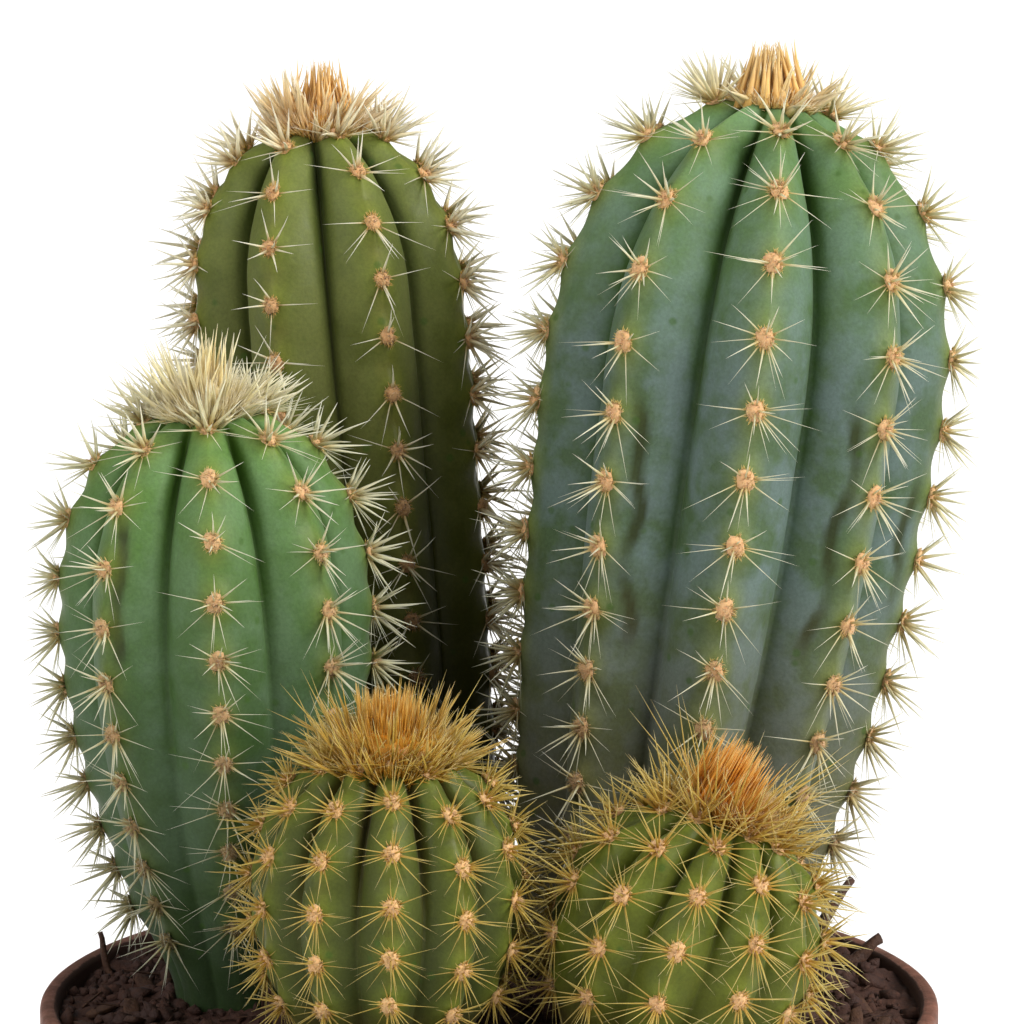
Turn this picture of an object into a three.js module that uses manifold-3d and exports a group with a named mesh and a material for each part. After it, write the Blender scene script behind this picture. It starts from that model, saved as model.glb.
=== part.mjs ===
// Potted tall cactus: five ribbed columnar stems in one round nursery pot filled with soil.
// Millimetres, +Z up. The origin is the centre of the pot's flat underside, the viewer stands at -Y.

import * as THREE from 'three';
import { mergeVertices } from 'three/addons/utils/BufferGeometryUtils.js';
import Module from 'manifold-3d';

const wasm = await Module();
wasm.setup();

const { clamp, degToRad, smoothstep, lerp } = THREE.MathUtils;
const TURN = 2 * Math.PI;

// ---------- driving dimensions ----------

const GAP = 0.3; // clearance between pieces that touch
const ROUND_SIDES = 44; // sides of the pot and of the soil in it

const POT = {
  rimRadius: 60,
  height: 104,
  footRadius: 43,
  footEdge: 1, // slanted edge round the underside
  wall: 1.5,
  floor: 2,
  lipHeight: 3.4, // the rolled lip round the mouth
  lipWidth: 2.3,
  lipEdge: 0.7, // slanted edges of the lip
  collarHeight: 15, // the wider band under the lip
  collarStep: 2.6,
  collarSlope: 2.4, // height of the slanted step under the collar
  collarFlare: 1.2, // how much the collar widens towards the mouth
  drainHoles: 6,
  drainRadius: 4,
  drainCircle: 27,
  drainSides: 10,
};
const COLLAR_FOOT = POT.height - POT.collarHeight;

const SOIL = {
  edgeDrop: 1.6, // how far the soil stays below the rim at the wall
  mound: 4.4, // how far its middle stands above its edge
  lumps: 0.5, // height of its uneven spots
  lumpLengths: [5.1, 6.3, 9.7],
  rings: [9, 20, 31, 42, 52],
};

// Twigs and bark bits that stick out of the soil: place, heading, rise, length and thickness.
const TWIGS = [
  { at: [-52, 17], heading: 150, rise: 72, length: 6.5, thick: 1.1 },
  { at: [43, 28], heading: 40, rise: 38, length: 15, thick: 1.9 },
  { at: [45.5, 25], heading: 62, rise: 70, length: 9.5, thick: 1.5 },
  { at: [49, 17], heading: 20, rise: 24, length: 6.5, thick: 2.4 },
  { at: [2, -47], heading: 200, rise: 12, length: 9, thick: 1.6 },
  { at: [-46, -17], heading: 300, rise: 14, length: 7, thick: 1.5 },
  { at: [4, 50], heading: 95, rise: 20, length: 7, thick: 1.6 },
];
const TWIG_SIDES = 5;
const TWIG_TIP = 0.64; // its thickness at the tip against the root
const TWIG_SUNK = 0.15; // the share of its length that the soil hides

// A stem runs from its foot at soil level to its tip, along a slightly bowed axis. Its girth is the radius
// over the rib crests, the waist and the shoulder say how thin the foot is and where the round top starts.
// Each rib carries a row of areoles: firstAreoles holds how far down the rib from the tip the first one is,
// areoleStep the way to the next, and crowding how much closer together they are at the foot. Flattening is
// the share by which the grooves are shallower in the swollen lower half.
const STEMS = {
  tall_right: {
    foot: [21.2, 12, 106.5],
    tip: [38.2, 15.5, 222.5],
    bow: 1.2,
    girth: 27.2,
    waist: 0.68,
    shoulder: 0.7,
    topCurve: [2.0, 2.1],
    ribs: 9,
    ribTurn: 1.5,
    ribDepth: 0.24,
    flattening: 0.12,
    areoles: 13,
    areoleStep: 10.45,
    crowding: 0.37,
    firstAreoles: [12.8, 13.7, 14.9, 9, 10, 8, 9, 8.4, 16.9],
    spine: [5.5, 7.5],
    buried: 17,
    colour: '#5f8477',
    crown: { centre: 6, side: 5.5, colour: '#d0b06c' },
  },
  tall_back: {
    foot: [-14.4, 32, 106.5],
    tip: [-24.2, 42, 216.2],
    bow: 0,
    girth: 19.6,
    waist: 0.88,
    shoulder: 0.76,
    topCurve: [2.3, 2.2],
    ribs: 8,
    ribTurn: 24,
    ribDepth: 0.22,
    flattening: 0.15,
    areoles: 13,
    areoleStep: 7.75,
    crowding: 0,
    firstAreoles: [8.6, 10.5, 9.5, 10, 9, 11, 12.7, 10.8],
    spine: [6, 8],
    buried: 16,
    colour: '#4f6b3c',
    crown: { centre: 6.5, side: 8.5, colour: '#b98648' },
  },
  left: {
    foot: [-33.4, 0, 106.5],
    tip: [-36.9, -4.5, 184.3],
    bow: -0.4,
    girth: 20.3,
    waist: 0.46,
    shoulder: 0.64,
    topCurve: [2.3, 2.3],
    ribs: 8,
    ribTurn: 3.5,
    ribDepth: 0.2,
    flattening: 0.5,
    areoles: 11,
    areoleStep: 8.5,
    crowding: 0.41,
    firstAreoles: [7.9, 11.6, 7.2, 8, 8.5, 9, 8.2, 12.2],
    spine: [5.5, 7.5],
    buried: 14,
    colour: '#5c8a72',
    crown: { centre: 8.8, side: 8, colour: '#cfc39c' },
  },
  small_left: {
    foot: [-13.4, -33, 106],
    tip: [-12.4, -34.5, 145.8],
    bow: 0,
    girth: 17.1,
    waist: 0.62,
    shoulder: 0.5,
    topCurve: [2.2, 2.2],
    ribs: 11,
    ribTurn: 3,
    ribDepth: 0.16,
    flattening: 0,
    areoles: 6,
    areoleStep: 6.6,
    crowding: 0,
    firstAreoles: [6.2, 8.6, 8, 7.5, 7, 8, 7, 7, 7.5, 9.4, 8],
    spine: [5, 7],
    buried: 13,
    colour: '#4a5f38',
    crown: { centre: 10, side: 12, colour: '#ad7a34' },
  },
  small_right: {
    foot: [20, -31.5, 106],
    tip: [30.8, -33.5, 136.8],
    bow: 0,
    girth: 17,
    waist: 0.7,
    shoulder: 0.45,
    topCurve: [2.2, 2.2],
    ribs: 11,
    ribTurn: -7,
    ribDepth: 0.16,
    flattening: 0,
    areoles: 5,
    areoleStep: 7.5,
    crowding: 0.1,
    firstAreoles: [9.9, 6.2, 8, 7.5, 7.5, 8, 7.5, 7.5, 8, 9, 6.4],
    spine: [7, 10.5],
    buried: 13,
    colour: '#7d8c35',
    crown: { centre: 17, side: 16, colour: '#b9782a' },
  },
};

const CAP_RADIUS = 4.6; // the small flat top of a stem, where its crown tuft sits
const GROOVE_FADE = 6; // distance from the tuft over which the grooves reach their depth
const FULL_GROOVES = 0.75; // the height, as u, above which the grooves keep their full depth
const FLATTENED_OVER = 0.5; // the height, as u, over which they grow shallower below that
const CREST_ROUNDNESS = 1.6; // exponent of the rib's section: round crest, sharp groove
const COLUMNS_PER_RIB = 4; // crest, flank, groove, flank
const CREST_SAMPLES = 300; // steps in which the length of a crest line is measured

// The buried end of a stem: how deep against its whole depth, and how wide against the foot.
const ROOT_SHAPE = [[1, 0.5], [0.88, 0.8], [0.55, 0.95]];
const HOLE_SIDES = 24; // sides of the hole in the soil that a stem stands in
const HOLE_TOP = 6; // how far the hole is cut above the stem's foot

// The pad that carries the spines of an areole, and the most it takes of the way to the next column.
const AREOLE = { along: 0.9, across: 0.8, rise: 0.55, share: 0.6 };
const UPPER_SLANT = 0.55; // climb of the two upper spines of an areole against their way aside
const LOWER_SLANT = -0.75;
const SLANT_SPREAD = 0.5;
const SPINE_TILTS = [50, 62, 74, 84]; // lean away from the rib's outward direction, tried in turn
const TILT_SPREAD = 14;
const SPINE_REACHES = [1, 0.8, 0.6, 0.4]; // shares of its length to which a spine is cut back, in turn
const SPINE_MIN = 0.9; // a spine with no room at all is cut back to this length
const CLEAR_OF_STEM = 1.4;
const CLEAR_OF_SPINE = 0.6;
const CLEAR_OF_SOIL = 1;
const SPINE_ROOT = 0.6; // half the width of an areole spine at its root

const TUFT_SIDES = 11;
const TUFT_RINGS = [[1, 0], [0.8, 1.5], [0.42, 2.6]]; // radius against the cap's, height
const TUFT_HEIGHT = 3.1;
const TUFT_FOCUS = 0.6; // the needles point away from this far below the cushion
const TUFT_STEEPNESS = [0.25, 0.95]; // from side needle to centre needle, as the sine of the rise
const TUFT_SPREAD = 0.16;
const TUFT_SHORTEST = 0.78; // shortest needle against the full length
const CROWN_ROOT = 1.2; // half the width of a needle of the tuft at its root

// ---------- small helpers ----------

function seededRandom(seed) {
  let state = seed;
  return () => {
    state = (state * 1664525 + 1013904223) % 4294967296;
    return state / 4294967296;
  };
}

// A closed shell built face by face, corners counter-clockwise seen from outside.
class Shell {
  points = [];
  faces = [];

  add(point) {
    return this.points.push(point) - 1;
  }

  fan(corners) {
    for (let i = 2; i < corners.length; i++) {
      this.faces.push(corners[0], corners[i - 1], corners[i]);
    }
  }

  // A three-sided needle on the triangle a, b, c.
  needle(a, b, c, tip) {
    const point = this.add(tip);
    this.faces.push(a, b, point, b, c, point, c, a, point);
  }

  geometry() {
    const geometry = new THREE.BufferGeometry().setFromPoints(this.points);
    geometry.setIndex(this.faces);
    geometry.computeVertexNormals();
    return geometry;
  }
}

function toSolid(geometry) {
  const bare = geometry.clone();
  bare.deleteAttribute('normal');
  bare.deleteAttribute('uv');
  const merged = mergeVertices(bare, 1e-4);
  return new wasm.Manifold(new wasm.Mesh({
    numProp: 3,
    vertProperties: new Float32Array(merged.attributes.position.array),
    triVerts: new Uint32Array(merged.index.array),
  }));
}

function toGeometry(solid) {
  const mesh = solid.getMesh();
  const geometry = new THREE.BufferGeometry();
  geometry.setAttribute('position', new THREE.BufferAttribute(mesh.vertProperties, 3));
  geometry.setIndex(new THREE.BufferAttribute(mesh.triVerts, 1));
  geometry.computeVertexNormals();
  return geometry;
}

function polar(radius, angle, z = 0) {
  return new THREE.Vector3(radius * Math.cos(angle), radius * Math.sin(angle), z);
}

// A ring of points, one for each of the sides, each made by a function of its angle.
function ring(sides, pointAt) {
  return Array.from({ length: sides }, (_, i) => pointAt((TURN * i) / sides));
}

// Rings of points, lowest first, closed by a flat end at both ends.
function ringSolid(rings) {
  const shell = new Shell();
  const sides = rings[0].length;
  const ids = rings.map((points) => points.map((point) => shell.add(point)));
  for (let row = 1; row < rings.length; row++) {
    for (let i = 0; i < sides; i++) {
      const next = (i + 1) % sides;
      shell.fan([ids[row - 1][i], ids[row - 1][next], ids[row][next], ids[row][i]]);
    }
  }
  closeRing(shell, ids[0], false);
  closeRing(shell, ids[ids.length - 1], true);
  return shell.geometry();
}

function closeRing(shell, ids, facesUp) {
  const middle = new THREE.Vector3();
  ids.forEach((id) => middle.addScaledVector(shell.points[id], 1 / ids.length));
  const centre = shell.add(middle);
  ids.forEach((id, i) => {
    const next = ids[(i + 1) % ids.length];
    shell.fan(facesUp ? [centre, id, next] : [centre, next, id]);
  });
}

// ---------- pot ----------

// Inner radius of the pot at height z, as the soil meets it.
function potInside(z) {
  const mouth = POT.rimRadius - POT.lipWidth;
  const bodyTop = mouth - POT.collarFlare - POT.collarStep;
  if (z < COLLAR_FOOT) {
    return lerp(POT.footRadius - POT.wall, bodyTop, (z - POT.floor) / (COLLAR_FOOT - POT.floor));
  }
  return lerp(mouth - POT.collarFlare, mouth, (z - COLLAR_FOOT) / POT.collarHeight);
}

function makePot() {
  const { height, wall, floor, footRadius, footEdge, lipEdge, lipWidth, rimRadius } = POT;
  const slopeFoot = COLLAR_FOOT - POT.collarSlope;
  const lipFoot = height - POT.lipHeight;
  const at = (r, z) => new THREE.Vector2(r, z);
  const profile = [
    at(0, 0),
    at(footRadius - footEdge, 0),
    at(footRadius, footEdge),
    at(potInside(slopeFoot) + wall, slopeFoot),
    at(potInside(COLLAR_FOOT) + wall, COLLAR_FOOT),
    at(potInside(lipFoot) + wall, lipFoot),
    at(rimRadius, lipFoot + lipEdge),
    at(rimRadius, height - lipEdge),
    at(rimRadius - lipEdge, height),
    at(rimRadius - lipWidth + lipEdge, height),
    at(rimRadius - lipWidth, height - lipEdge),
    at(potInside(COLLAR_FOOT), COLLAR_FOOT),
    at(potInside(slopeFoot), slopeFoot),
    at(potInside(floor), floor),
    at(0, floor),
  ];
  const lathe = new THREE.LatheGeometry(profile, ROUND_SIDES);
  lathe.rotateX(Math.PI / 2);
  let solid = toSolid(lathe);
  for (let i = 0; i < POT.drainHoles; i++) {
    const drill = new THREE.CylinderGeometry(POT.drainRadius, POT.drainRadius, 4 * floor, POT.drainSides);
    drill.rotateX(Math.PI / 2);
    drill.translate(...polar(POT.drainCircle, (TURN * i) / POT.drainHoles).toArray());
    solid = solid.subtract(toSolid(drill));
  }
  return toGeometry(solid);
}

// ---------- soil ----------

function soilHeight(x, y) {
  const reach = Math.hypot(x, y) / POT.rimRadius;
  const [across, deep, slanting] = SOIL.lumpLengths;
  const lumps = Math.sin(x / across + 1) * Math.cos(y / deep) + Math.sin((x + 2 * y) / slanting);
  const level = POT.height - SOIL.edgeDrop + SOIL.mound * (1 - reach ** 2);
  return level + SOIL.lumps * lumps;
}

function makeTwig({ at, heading, rise, length, thick }) {
  const twig = new THREE.CylinderGeometry((thick / 2) * TWIG_TIP, thick / 2, length, TWIG_SIDES);
  twig.translate(0, length * (0.5 - TWIG_SUNK), 0);
  twig.rotateX(Math.PI / 2);
  twig.rotateY(degToRad(90 - rise));
  twig.rotateZ(degToRad(heading));
  twig.translate(at[0], at[1], soilHeight(...at));
  return twig;
}

function makeSoil() {
  const wallRing = (z) => ring(ROUND_SIDES, (angle) => polar(potInside(z) - GAP, angle, z));
  const topRing = (radius) => ring(ROUND_SIDES, (angle) => {
    const point = polar(radius, angle);
    return point.setZ(soilHeight(point.x, point.y));
  });
  const edge = potInside(POT.height - SOIL.edgeDrop) - 2 * GAP;
  const rings = [
    ...[POT.floor + GAP, COLLAR_FOOT - POT.collarSlope, COLLAR_FOOT].map(wallRing),
    ...[...SOIL.rings, edge].toReversed().map(topRing),
  ];
  let solid = toSolid(ringSolid(rings));
  for (const twig of TWIGS) {
    solid = solid.add(toSolid(makeTwig(twig)));
  }
  for (const stem of Object.values(STEMS)) {
    solid = solid.subtract(toSolid(stemHole(stem)));
  }
  return toGeometry(solid);
}

// ---------- stems ----------

// The stem's own directions: along its axis, front (towards the viewer) and side (to the right).
function stemFrame(stem) {
  const foot = new THREE.Vector3(...stem.foot);
  const along = new THREE.Vector3(...stem.tip).sub(foot);
  const length = along.length();
  along.normalize();
  const front = new THREE.Vector3(0, -1, 0);
  front.addScaledVector(along, -front.dot(along)).normalize();
  const side = new THREE.Vector3().crossVectors(front, along).negate();
  return { foot, along, length, front, side };
}

// Radius over the crests at u, 0 at the foot and 1 at the tip.
function crestRadius(stem, u) {
  if (u < stem.shoulder) {
    const rise = Math.sin((Math.PI / 2) * Math.max(u, 0) / stem.shoulder);
    return stem.girth * lerp(stem.waist, 1, rise);
  }
  const [p, q] = stem.topCurve;
  const w = Math.min(1, (u - stem.shoulder) / (1 - stem.shoulder));
  return stem.girth * Math.max(0, 1 - w ** p) ** (1 / q);
}

function axisPoint(stem, u) {
  const { foot, along, length } = stem.frame;
  const point = foot.clone().addScaledVector(along, length * u);
  point.x += stem.bow * 4 * u * (1 - u);
  return point;
}

function outward(stem, angle) {
  const { front, side } = stem.frame;
  return front.clone().multiplyScalar(Math.cos(angle)).addScaledVector(side, Math.sin(angle));
}

// How far the surface lies below the crest line: 0 on a crest, the full groove between two ribs.
function grooveDepth(stem, u, radius, angle) {
  const ribs = (angle - degToRad(stem.ribTurn)) / (TURN / stem.ribs);
  const offCrest = 2 * Math.abs(ribs - Math.round(ribs));
  const opened = 1 - Math.exp(-Math.max(0, radius - CAP_RADIUS) / GROOVE_FADE);
  const flattened = 1 - stem.flattening * clamp((FULL_GROOVES - u) / FLATTENED_OVER, 0, 1);
  return stem.ribDepth * stem.girth * opened * flattened * offCrest ** CREST_ROUNDNESS;
}

function stemPoint(stem, u, angle) {
  const step = 0.002;
  const radius = crestRadius(stem, u);
  const fall = crestRadius(stem, Math.max(0, u - step)) - crestRadius(stem, Math.min(1, u + step));
  const run = 2 * step * stem.frame.length;
  const direction = outward(stem, angle);
  const normal = direction.clone().multiplyScalar(run).addScaledVector(stem.frame.along, fall).normalize();
  return axisPoint(stem, u)
    .addScaledVector(direction, radius)
    .addScaledVector(normal, -grooveDepth(stem, u, radius, angle));
}

// The height, as u, at which the rounded top has narrowed to the small flat cap.
function capHeight(stem) {
  const [p, q] = stem.topCurve;
  const w = (1 - (CAP_RADIUS / stem.girth) ** q) ** (1 / p);
  return lerp(stem.shoulder, 1, w);
}

// Where the areoles of each rib are, as u, lowest first. They are spaced along the rib's own curve.
function areoleRows(stem) {
  const heights = [1];
  const lengths = [0];
  for (let i = 1; i <= CREST_SAMPLES; i++) {
    heights.push(1 - (i / CREST_SAMPLES) ** 2);
    const rise = (heights[i - 1] - heights[i]) * stem.frame.length;
    const out = crestRadius(stem, heights[i]) - crestRadius(stem, heights[i - 1]);
    lengths.push(lengths[i - 1] + Math.hypot(rise, out));
  }
  const heightAt = (distance) => {
    const i = lengths.findIndex((length) => length >= distance);
    const part = (distance - lengths[i - 1]) / (lengths[i] - lengths[i - 1]);
    return lerp(heights[i - 1], heights[i], part);
  };
  return stem.firstAreoles.map((first) => {
    const row = [];
    let distance = first;
    while (row.length < stem.areoles) {
      const u = heightAt(distance);
      row.unshift(u);
      distance += stem.areoleStep * (1 - stem.crowding * (1 - u));
    }
    return row;
  });
}

// The plain hole that a stem stands in: its root end and lowest millimetres with the gap all round.
function stemHole(stem) {
  const { length } = stem.frame;
  const holeRing = (u, radius) => ring(HOLE_SIDES, (angle) => {
    const corner = (radius + GAP) / Math.cos(Math.PI / HOLE_SIDES);
    return axisPoint(stem, u).addScaledVector(outward(stem, angle), corner);
  });
  const rings = ROOT_SHAPE.map(([deep, wide]) => (
    holeRing(-(deep * stem.buried + GAP) / length, crestRadius(stem, 0) * wide)
  ));
  for (const height of [0, HOLE_TOP / 2, HOLE_TOP]) {
    rings.push(holeRing(height / length, crestRadius(stem, height / length)));
  }
  return ringSolid(rings);
}

// ---------- spines ----------

const spines = []; // every spine placed so far, as lines

// Rough clear distance from a point to a stem, measured across its axis.
function stemClearance(stem, point) {
  const { foot, along, length } = stem.frame;
  const u = point.clone().sub(foot).dot(along) / length;
  if (u > 1) {
    return point.distanceTo(axisPoint(stem, 1));
  }
  return point.distanceTo(axisPoint(stem, u)) - crestRadius(stem, u);
}

function isClear(root, tip, owner, pad) {
  const line = new THREE.Line3(root, tip);
  const between = new THREE.Vector3();
  const probe = new THREE.Vector3();
  const reach = line.distance();
  const middle = line.getCenter(new THREE.Vector3());
  for (const part of [0.4, 0.7, 1]) {
    line.at(part, probe);
    if (probe.z < soilHeight(probe.x, probe.y) + CLEAR_OF_SOIL) {
      return false;
    }
    for (const stem of Object.values(STEMS)) {
      if (stem !== owner && stemClearance(stem, probe) < CLEAR_OF_STEM) {
        return false;
      }
    }
  }
  return spines.every((other) => {
    const farOff = (other.reach + reach) / 2 + CLEAR_OF_SPINE + CROWN_ROOT + SPINE_ROOT;
    if (other.pad === pad || other.middle.distanceTo(middle) > farOff) {
      return true;
    }
    return [0, 0.2, 0.4, 0.6, 0.8, 1].every((part) => {
      line.at(part, probe);
      const otherPart = other.line.closestPointToPointParameter(probe, true);
      other.line.at(otherPart, between);
      const halfWidths = SPINE_ROOT * (1 - part) + other.width * (1 - otherPart);
      return between.distanceTo(probe) > CLEAR_OF_SPINE + halfWidths;
    });
  });
}

function rememberSpine(root, tip, pad, width) {
  const line = new THREE.Line3(root.clone(), tip.clone());
  spines.push({ line, pad, width, reach: line.distance(), middle: line.getCenter(new THREE.Vector3()) });
}

// Four spines on one areole, one on each quarter of its pad, bent or cut back where something is near.
function addAreole(shell, stem, pad, outwards, random) {
  const { e, n, w, s } = pad;
  const at = (id) => shell.points[id];
  const centre = at(e).clone().add(at(w)).add(at(n)).add(at(s)).multiplyScalar(0.25);
  const east = at(e).clone().sub(at(w)).normalize();
  const north = at(n).clone().sub(at(s)).normalize();
  const top = shell.add(centre.clone().addScaledVector(outwards, AREOLE.rise));
  const quarters = [
    { from: e, to: n, across: 1, slant: UPPER_SLANT },
    { from: n, to: w, across: -1, slant: UPPER_SLANT },
    { from: w, to: s, across: -1, slant: LOWER_SLANT },
    { from: s, to: e, across: 1, slant: LOWER_SLANT },
  ];
  for (const { from, to, across, slant } of quarters) {
    const root = at(from).clone().add(at(to)).add(at(top)).multiplyScalar(1 / 3);
    const length = lerp(...stem.spine, random());
    const lean = (random() - 0.5) * TILT_SPREAD;
    const climb = slant + (random() - 0.5) * SLANT_SPREAD;
    const flat = east.clone().multiplyScalar(across).addScaledVector(north, climb).normalize();
    const tipFor = (tilt, reach) => {
      const direction = outwards.clone().multiplyScalar(Math.cos(degToRad(tilt)));
      direction.addScaledVector(flat, Math.sin(degToRad(tilt)));
      return root.clone().addScaledVector(direction, reach);
    };
    const tip = firstClear(stem, root, pad, (tilt, reach) => tipFor(tilt + lean, reach * length), length);
    rememberSpine(root, tip, pad, SPINE_ROOT);
    shell.needle(from, to, top, tip);
  }
}

function firstClear(stem, root, pad, tipFor, length) {
  for (const reach of SPINE_REACHES) {
    for (const tilt of SPINE_TILTS) {
      const tip = tipFor(tilt, reach);
      if (isClear(root, tip, stem, pad)) {
        return tip;
      }
    }
  }
  return tipFor(SPINE_TILTS[0], SPINE_MIN / length);
}

// ---------- one stem ----------

function makeStem(stem) {
  const shell = new Shell();
  const random = seededRandom(stem.seed);
  const columns = stem.ribs * COLUMNS_PER_RIB;
  const angleOf = (column) => degToRad(stem.ribTurn) + (TURN * column) / columns;
  const rows = areoleRows(stem);
  const grid = [];
  for (const [deep, wide] of ROOT_SHAPE) {
    const u = -(deep * stem.buried) / stem.frame.length;
    grid.push(Array.from({ length: columns }, (_, column) => (
      stemPoint(stem, 0, angleOf(column))
        .sub(axisPoint(stem, 0))
        .multiplyScalar(wide)
        .add(axisPoint(stem, u))
    )));
  }
  const areoleFrom = grid.length + 1;
  const heights = [rows.map(() => 0), ...rows[0].map((_, level) => rows.map((row) => row[level]))];
  for (const ribHeights of heights) {
    grid.push(Array.from({ length: columns }, (_, column) => {
      const rib = column / COLUMNS_PER_RIB;
      const here = ribHeights[Math.floor(rib)];
      const next = ribHeights[(Math.floor(rib) + 1) % stem.ribs];
      return stemPoint(stem, lerp(here, next, rib % 1), angleOf(column));
    }));
  }
  const areoleTo = grid.length;
  grid.push(Array.from({ length: columns }, (_, column) => (
    axisPoint(stem, capHeight(stem)).addScaledVector(outward(stem, angleOf(column)), CAP_RADIUS)
  )));

  // A crest point with an areole gives way to the four corners of its pad.
  const ids = grid.map((level, row) => level.map((point, column) => {
    if (column % COLUMNS_PER_RIB > 0 || row < areoleFrom || row >= areoleTo) {
      return shell.add(point);
    }
    const corner = (towards, size) => {
      const offset = towards.clone().sub(point);
      return shell.add(point.clone().addScaledVector(offset.normalize(), size));
    };
    const beside = (step) => level[(column + step + columns) % columns];
    const across = Math.min(AREOLE.across, AREOLE.share * beside(1).distanceTo(point));
    return {
      e: corner(beside(1), across),
      n: corner(grid[row + 1][column], AREOLE.along),
      w: corner(beside(-1), across),
      s: corner(grid[row - 1][column], AREOLE.along),
    };
  }));
  const corners = (id, first, second) => (typeof id === 'number' ? [id] : [id[first], id[second]]);
  for (let row = 1; row < grid.length; row++) {
    for (let column = 0; column < columns; column++) {
      const next = (column + 1) % columns;
      const loop = [
        ...corners(ids[row - 1][next], 'w', 'n'),
        ...corners(ids[row][next], 's', 'w'),
        ...corners(ids[row][column], 'e', 's'),
        ...corners(ids[row - 1][column], 'n', 'e'),
      ];
      // The fan starts away from the crest, so that no sliver runs across the corners of a pad.
      const start = column % COLUMNS_PER_RIB === COLUMNS_PER_RIB - 1 ? loop.length - 1 : 0;
      shell.fan([...loop.slice(start), ...loop.slice(0, start)]);
    }
  }
  closeRing(shell, ids[0], false);
  closeRing(shell, ids[ids.length - 1], true);

  for (let row = areoleFrom; row < areoleTo; row++) {
    for (let column = 0; column < columns; column += COLUMNS_PER_RIB) {
      const below = grid[row - 1][column];
      const above = grid[row + 1][column];
      const climb = above.clone().sub(below).normalize();
      const outwards = outward(stem, angleOf(column));
      outwards.addScaledVector(climb, -outwards.dot(climb)).normalize();
      addAreole(shell, stem, ids[row][column], outwards, random);
    }
  }
  return shell.geometry();
}

// ---------- crown tufts ----------

// The young spines at the growing point: a low cushion with a needle on each of its facets.
function makeCrown(stem) {
  const shell = new Shell();
  const random = seededRandom(stem.seed + 50);
  const { along } = stem.frame;
  const base = axisPoint(stem, capHeight(stem)).addScaledVector(along, GAP);
  const pad = {};
  const rings = TUFT_RINGS.map(([wide, high], row) => Array.from({ length: TUFT_SIDES }, (_, i) => {
    const angle = (TURN * (i + row / 2)) / TUFT_SIDES;
    const point = base.clone().addScaledVector(along, high);
    return shell.add(point.addScaledVector(outward(stem, angle), wide * (CAP_RADIUS - GAP)));
  }));
  const top = shell.add(base.clone().addScaledVector(along, TUFT_HEIGHT));
  const facets = [];
  for (let i = 0; i < TUFT_SIDES; i++) {
    const next = (i + 1) % TUFT_SIDES;
    for (const [low, high] of [[rings[0], rings[1]], [rings[1], rings[2]]]) {
      facets.push([low[i], low[next], high[i]], [low[next], high[next], high[i]]);
    }
    facets.push([rings[2][i], rings[2][next], top]);
  }
  for (const facet of facets) {
    const [a, b, c] = facet.map((id) => shell.points[id]);
    const root = a.clone().add(b).add(c).multiplyScalar(1 / 3);
    const direction = root.clone().sub(base).addScaledVector(along, TUFT_FOCUS).normalize();
    const steep = smoothstep(direction.dot(along), ...TUFT_STEEPNESS);
    const length = lerp(stem.crown.side, stem.crown.centre, steep);
    direction.x += (random() - 0.5) * TUFT_SPREAD;
    direction.y += (random() - 0.5) * TUFT_SPREAD;
    const share = lerp(TUFT_SHORTEST, 1, random());
    const tip = root.clone().addScaledVector(direction.normalize(), length * share);
    rememberSpine(root, tip, pad, CROWN_ROOT);
    shell.needle(...facet, tip);
  }
  closeRing(shell, rings[0], false);
  return shell.geometry();
}

// ---------- the object ----------

function piece(name, geometry, colour, roughness) {
  const material = new THREE.MeshStandardMaterial({ color: colour, roughness, metalness: 0 });
  const mesh = new THREE.Mesh(geometry, material);
  mesh.name = name;
  return mesh;
}

Object.values(STEMS).forEach((stem, i) => {
  stem.frame = stemFrame(stem);
  stem.seed = 11 + 7 * i;
});

const cactus = new THREE.Group();
cactus.add(piece('pot', makePot(), '#7d5142', 0.5));
cactus.add(piece('soil', makeSoil(), '#2e1d15', 0.95));
for (const [name, stem] of Object.entries(STEMS)) {
  cactus.add(piece(`crown_${name}`, makeCrown(stem), stem.crown.colour, 0.6));
}
for (const [name, stem] of Object.entries(STEMS)) {
  cactus.add(piece(`stem_${name}`, makeStem(stem), stem.colour, 0.55));
}

export default cactus;
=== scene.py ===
"""Potted tall cactus: five ribbed columnar stems in a round nursery pot.

The packed model gives the frame. Finer pieces of the same form stand for its nodes: flesh, areoles and
spines for each stem, a tuft for each crown, and the soil and the pot. Forms are worked out in millimetres
and turned to metres when a piece is finished.
"""

import math
import random
from dataclasses import dataclass
from functools import partial

import bmesh
import bpy
import numpy as np
from bpy.props import FloatProperty, FloatVectorProperty, IntProperty, PointerProperty
from bpy.types import Operator, Panel, PropertyGroup
from mathutils import Matrix, Vector, noise


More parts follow.
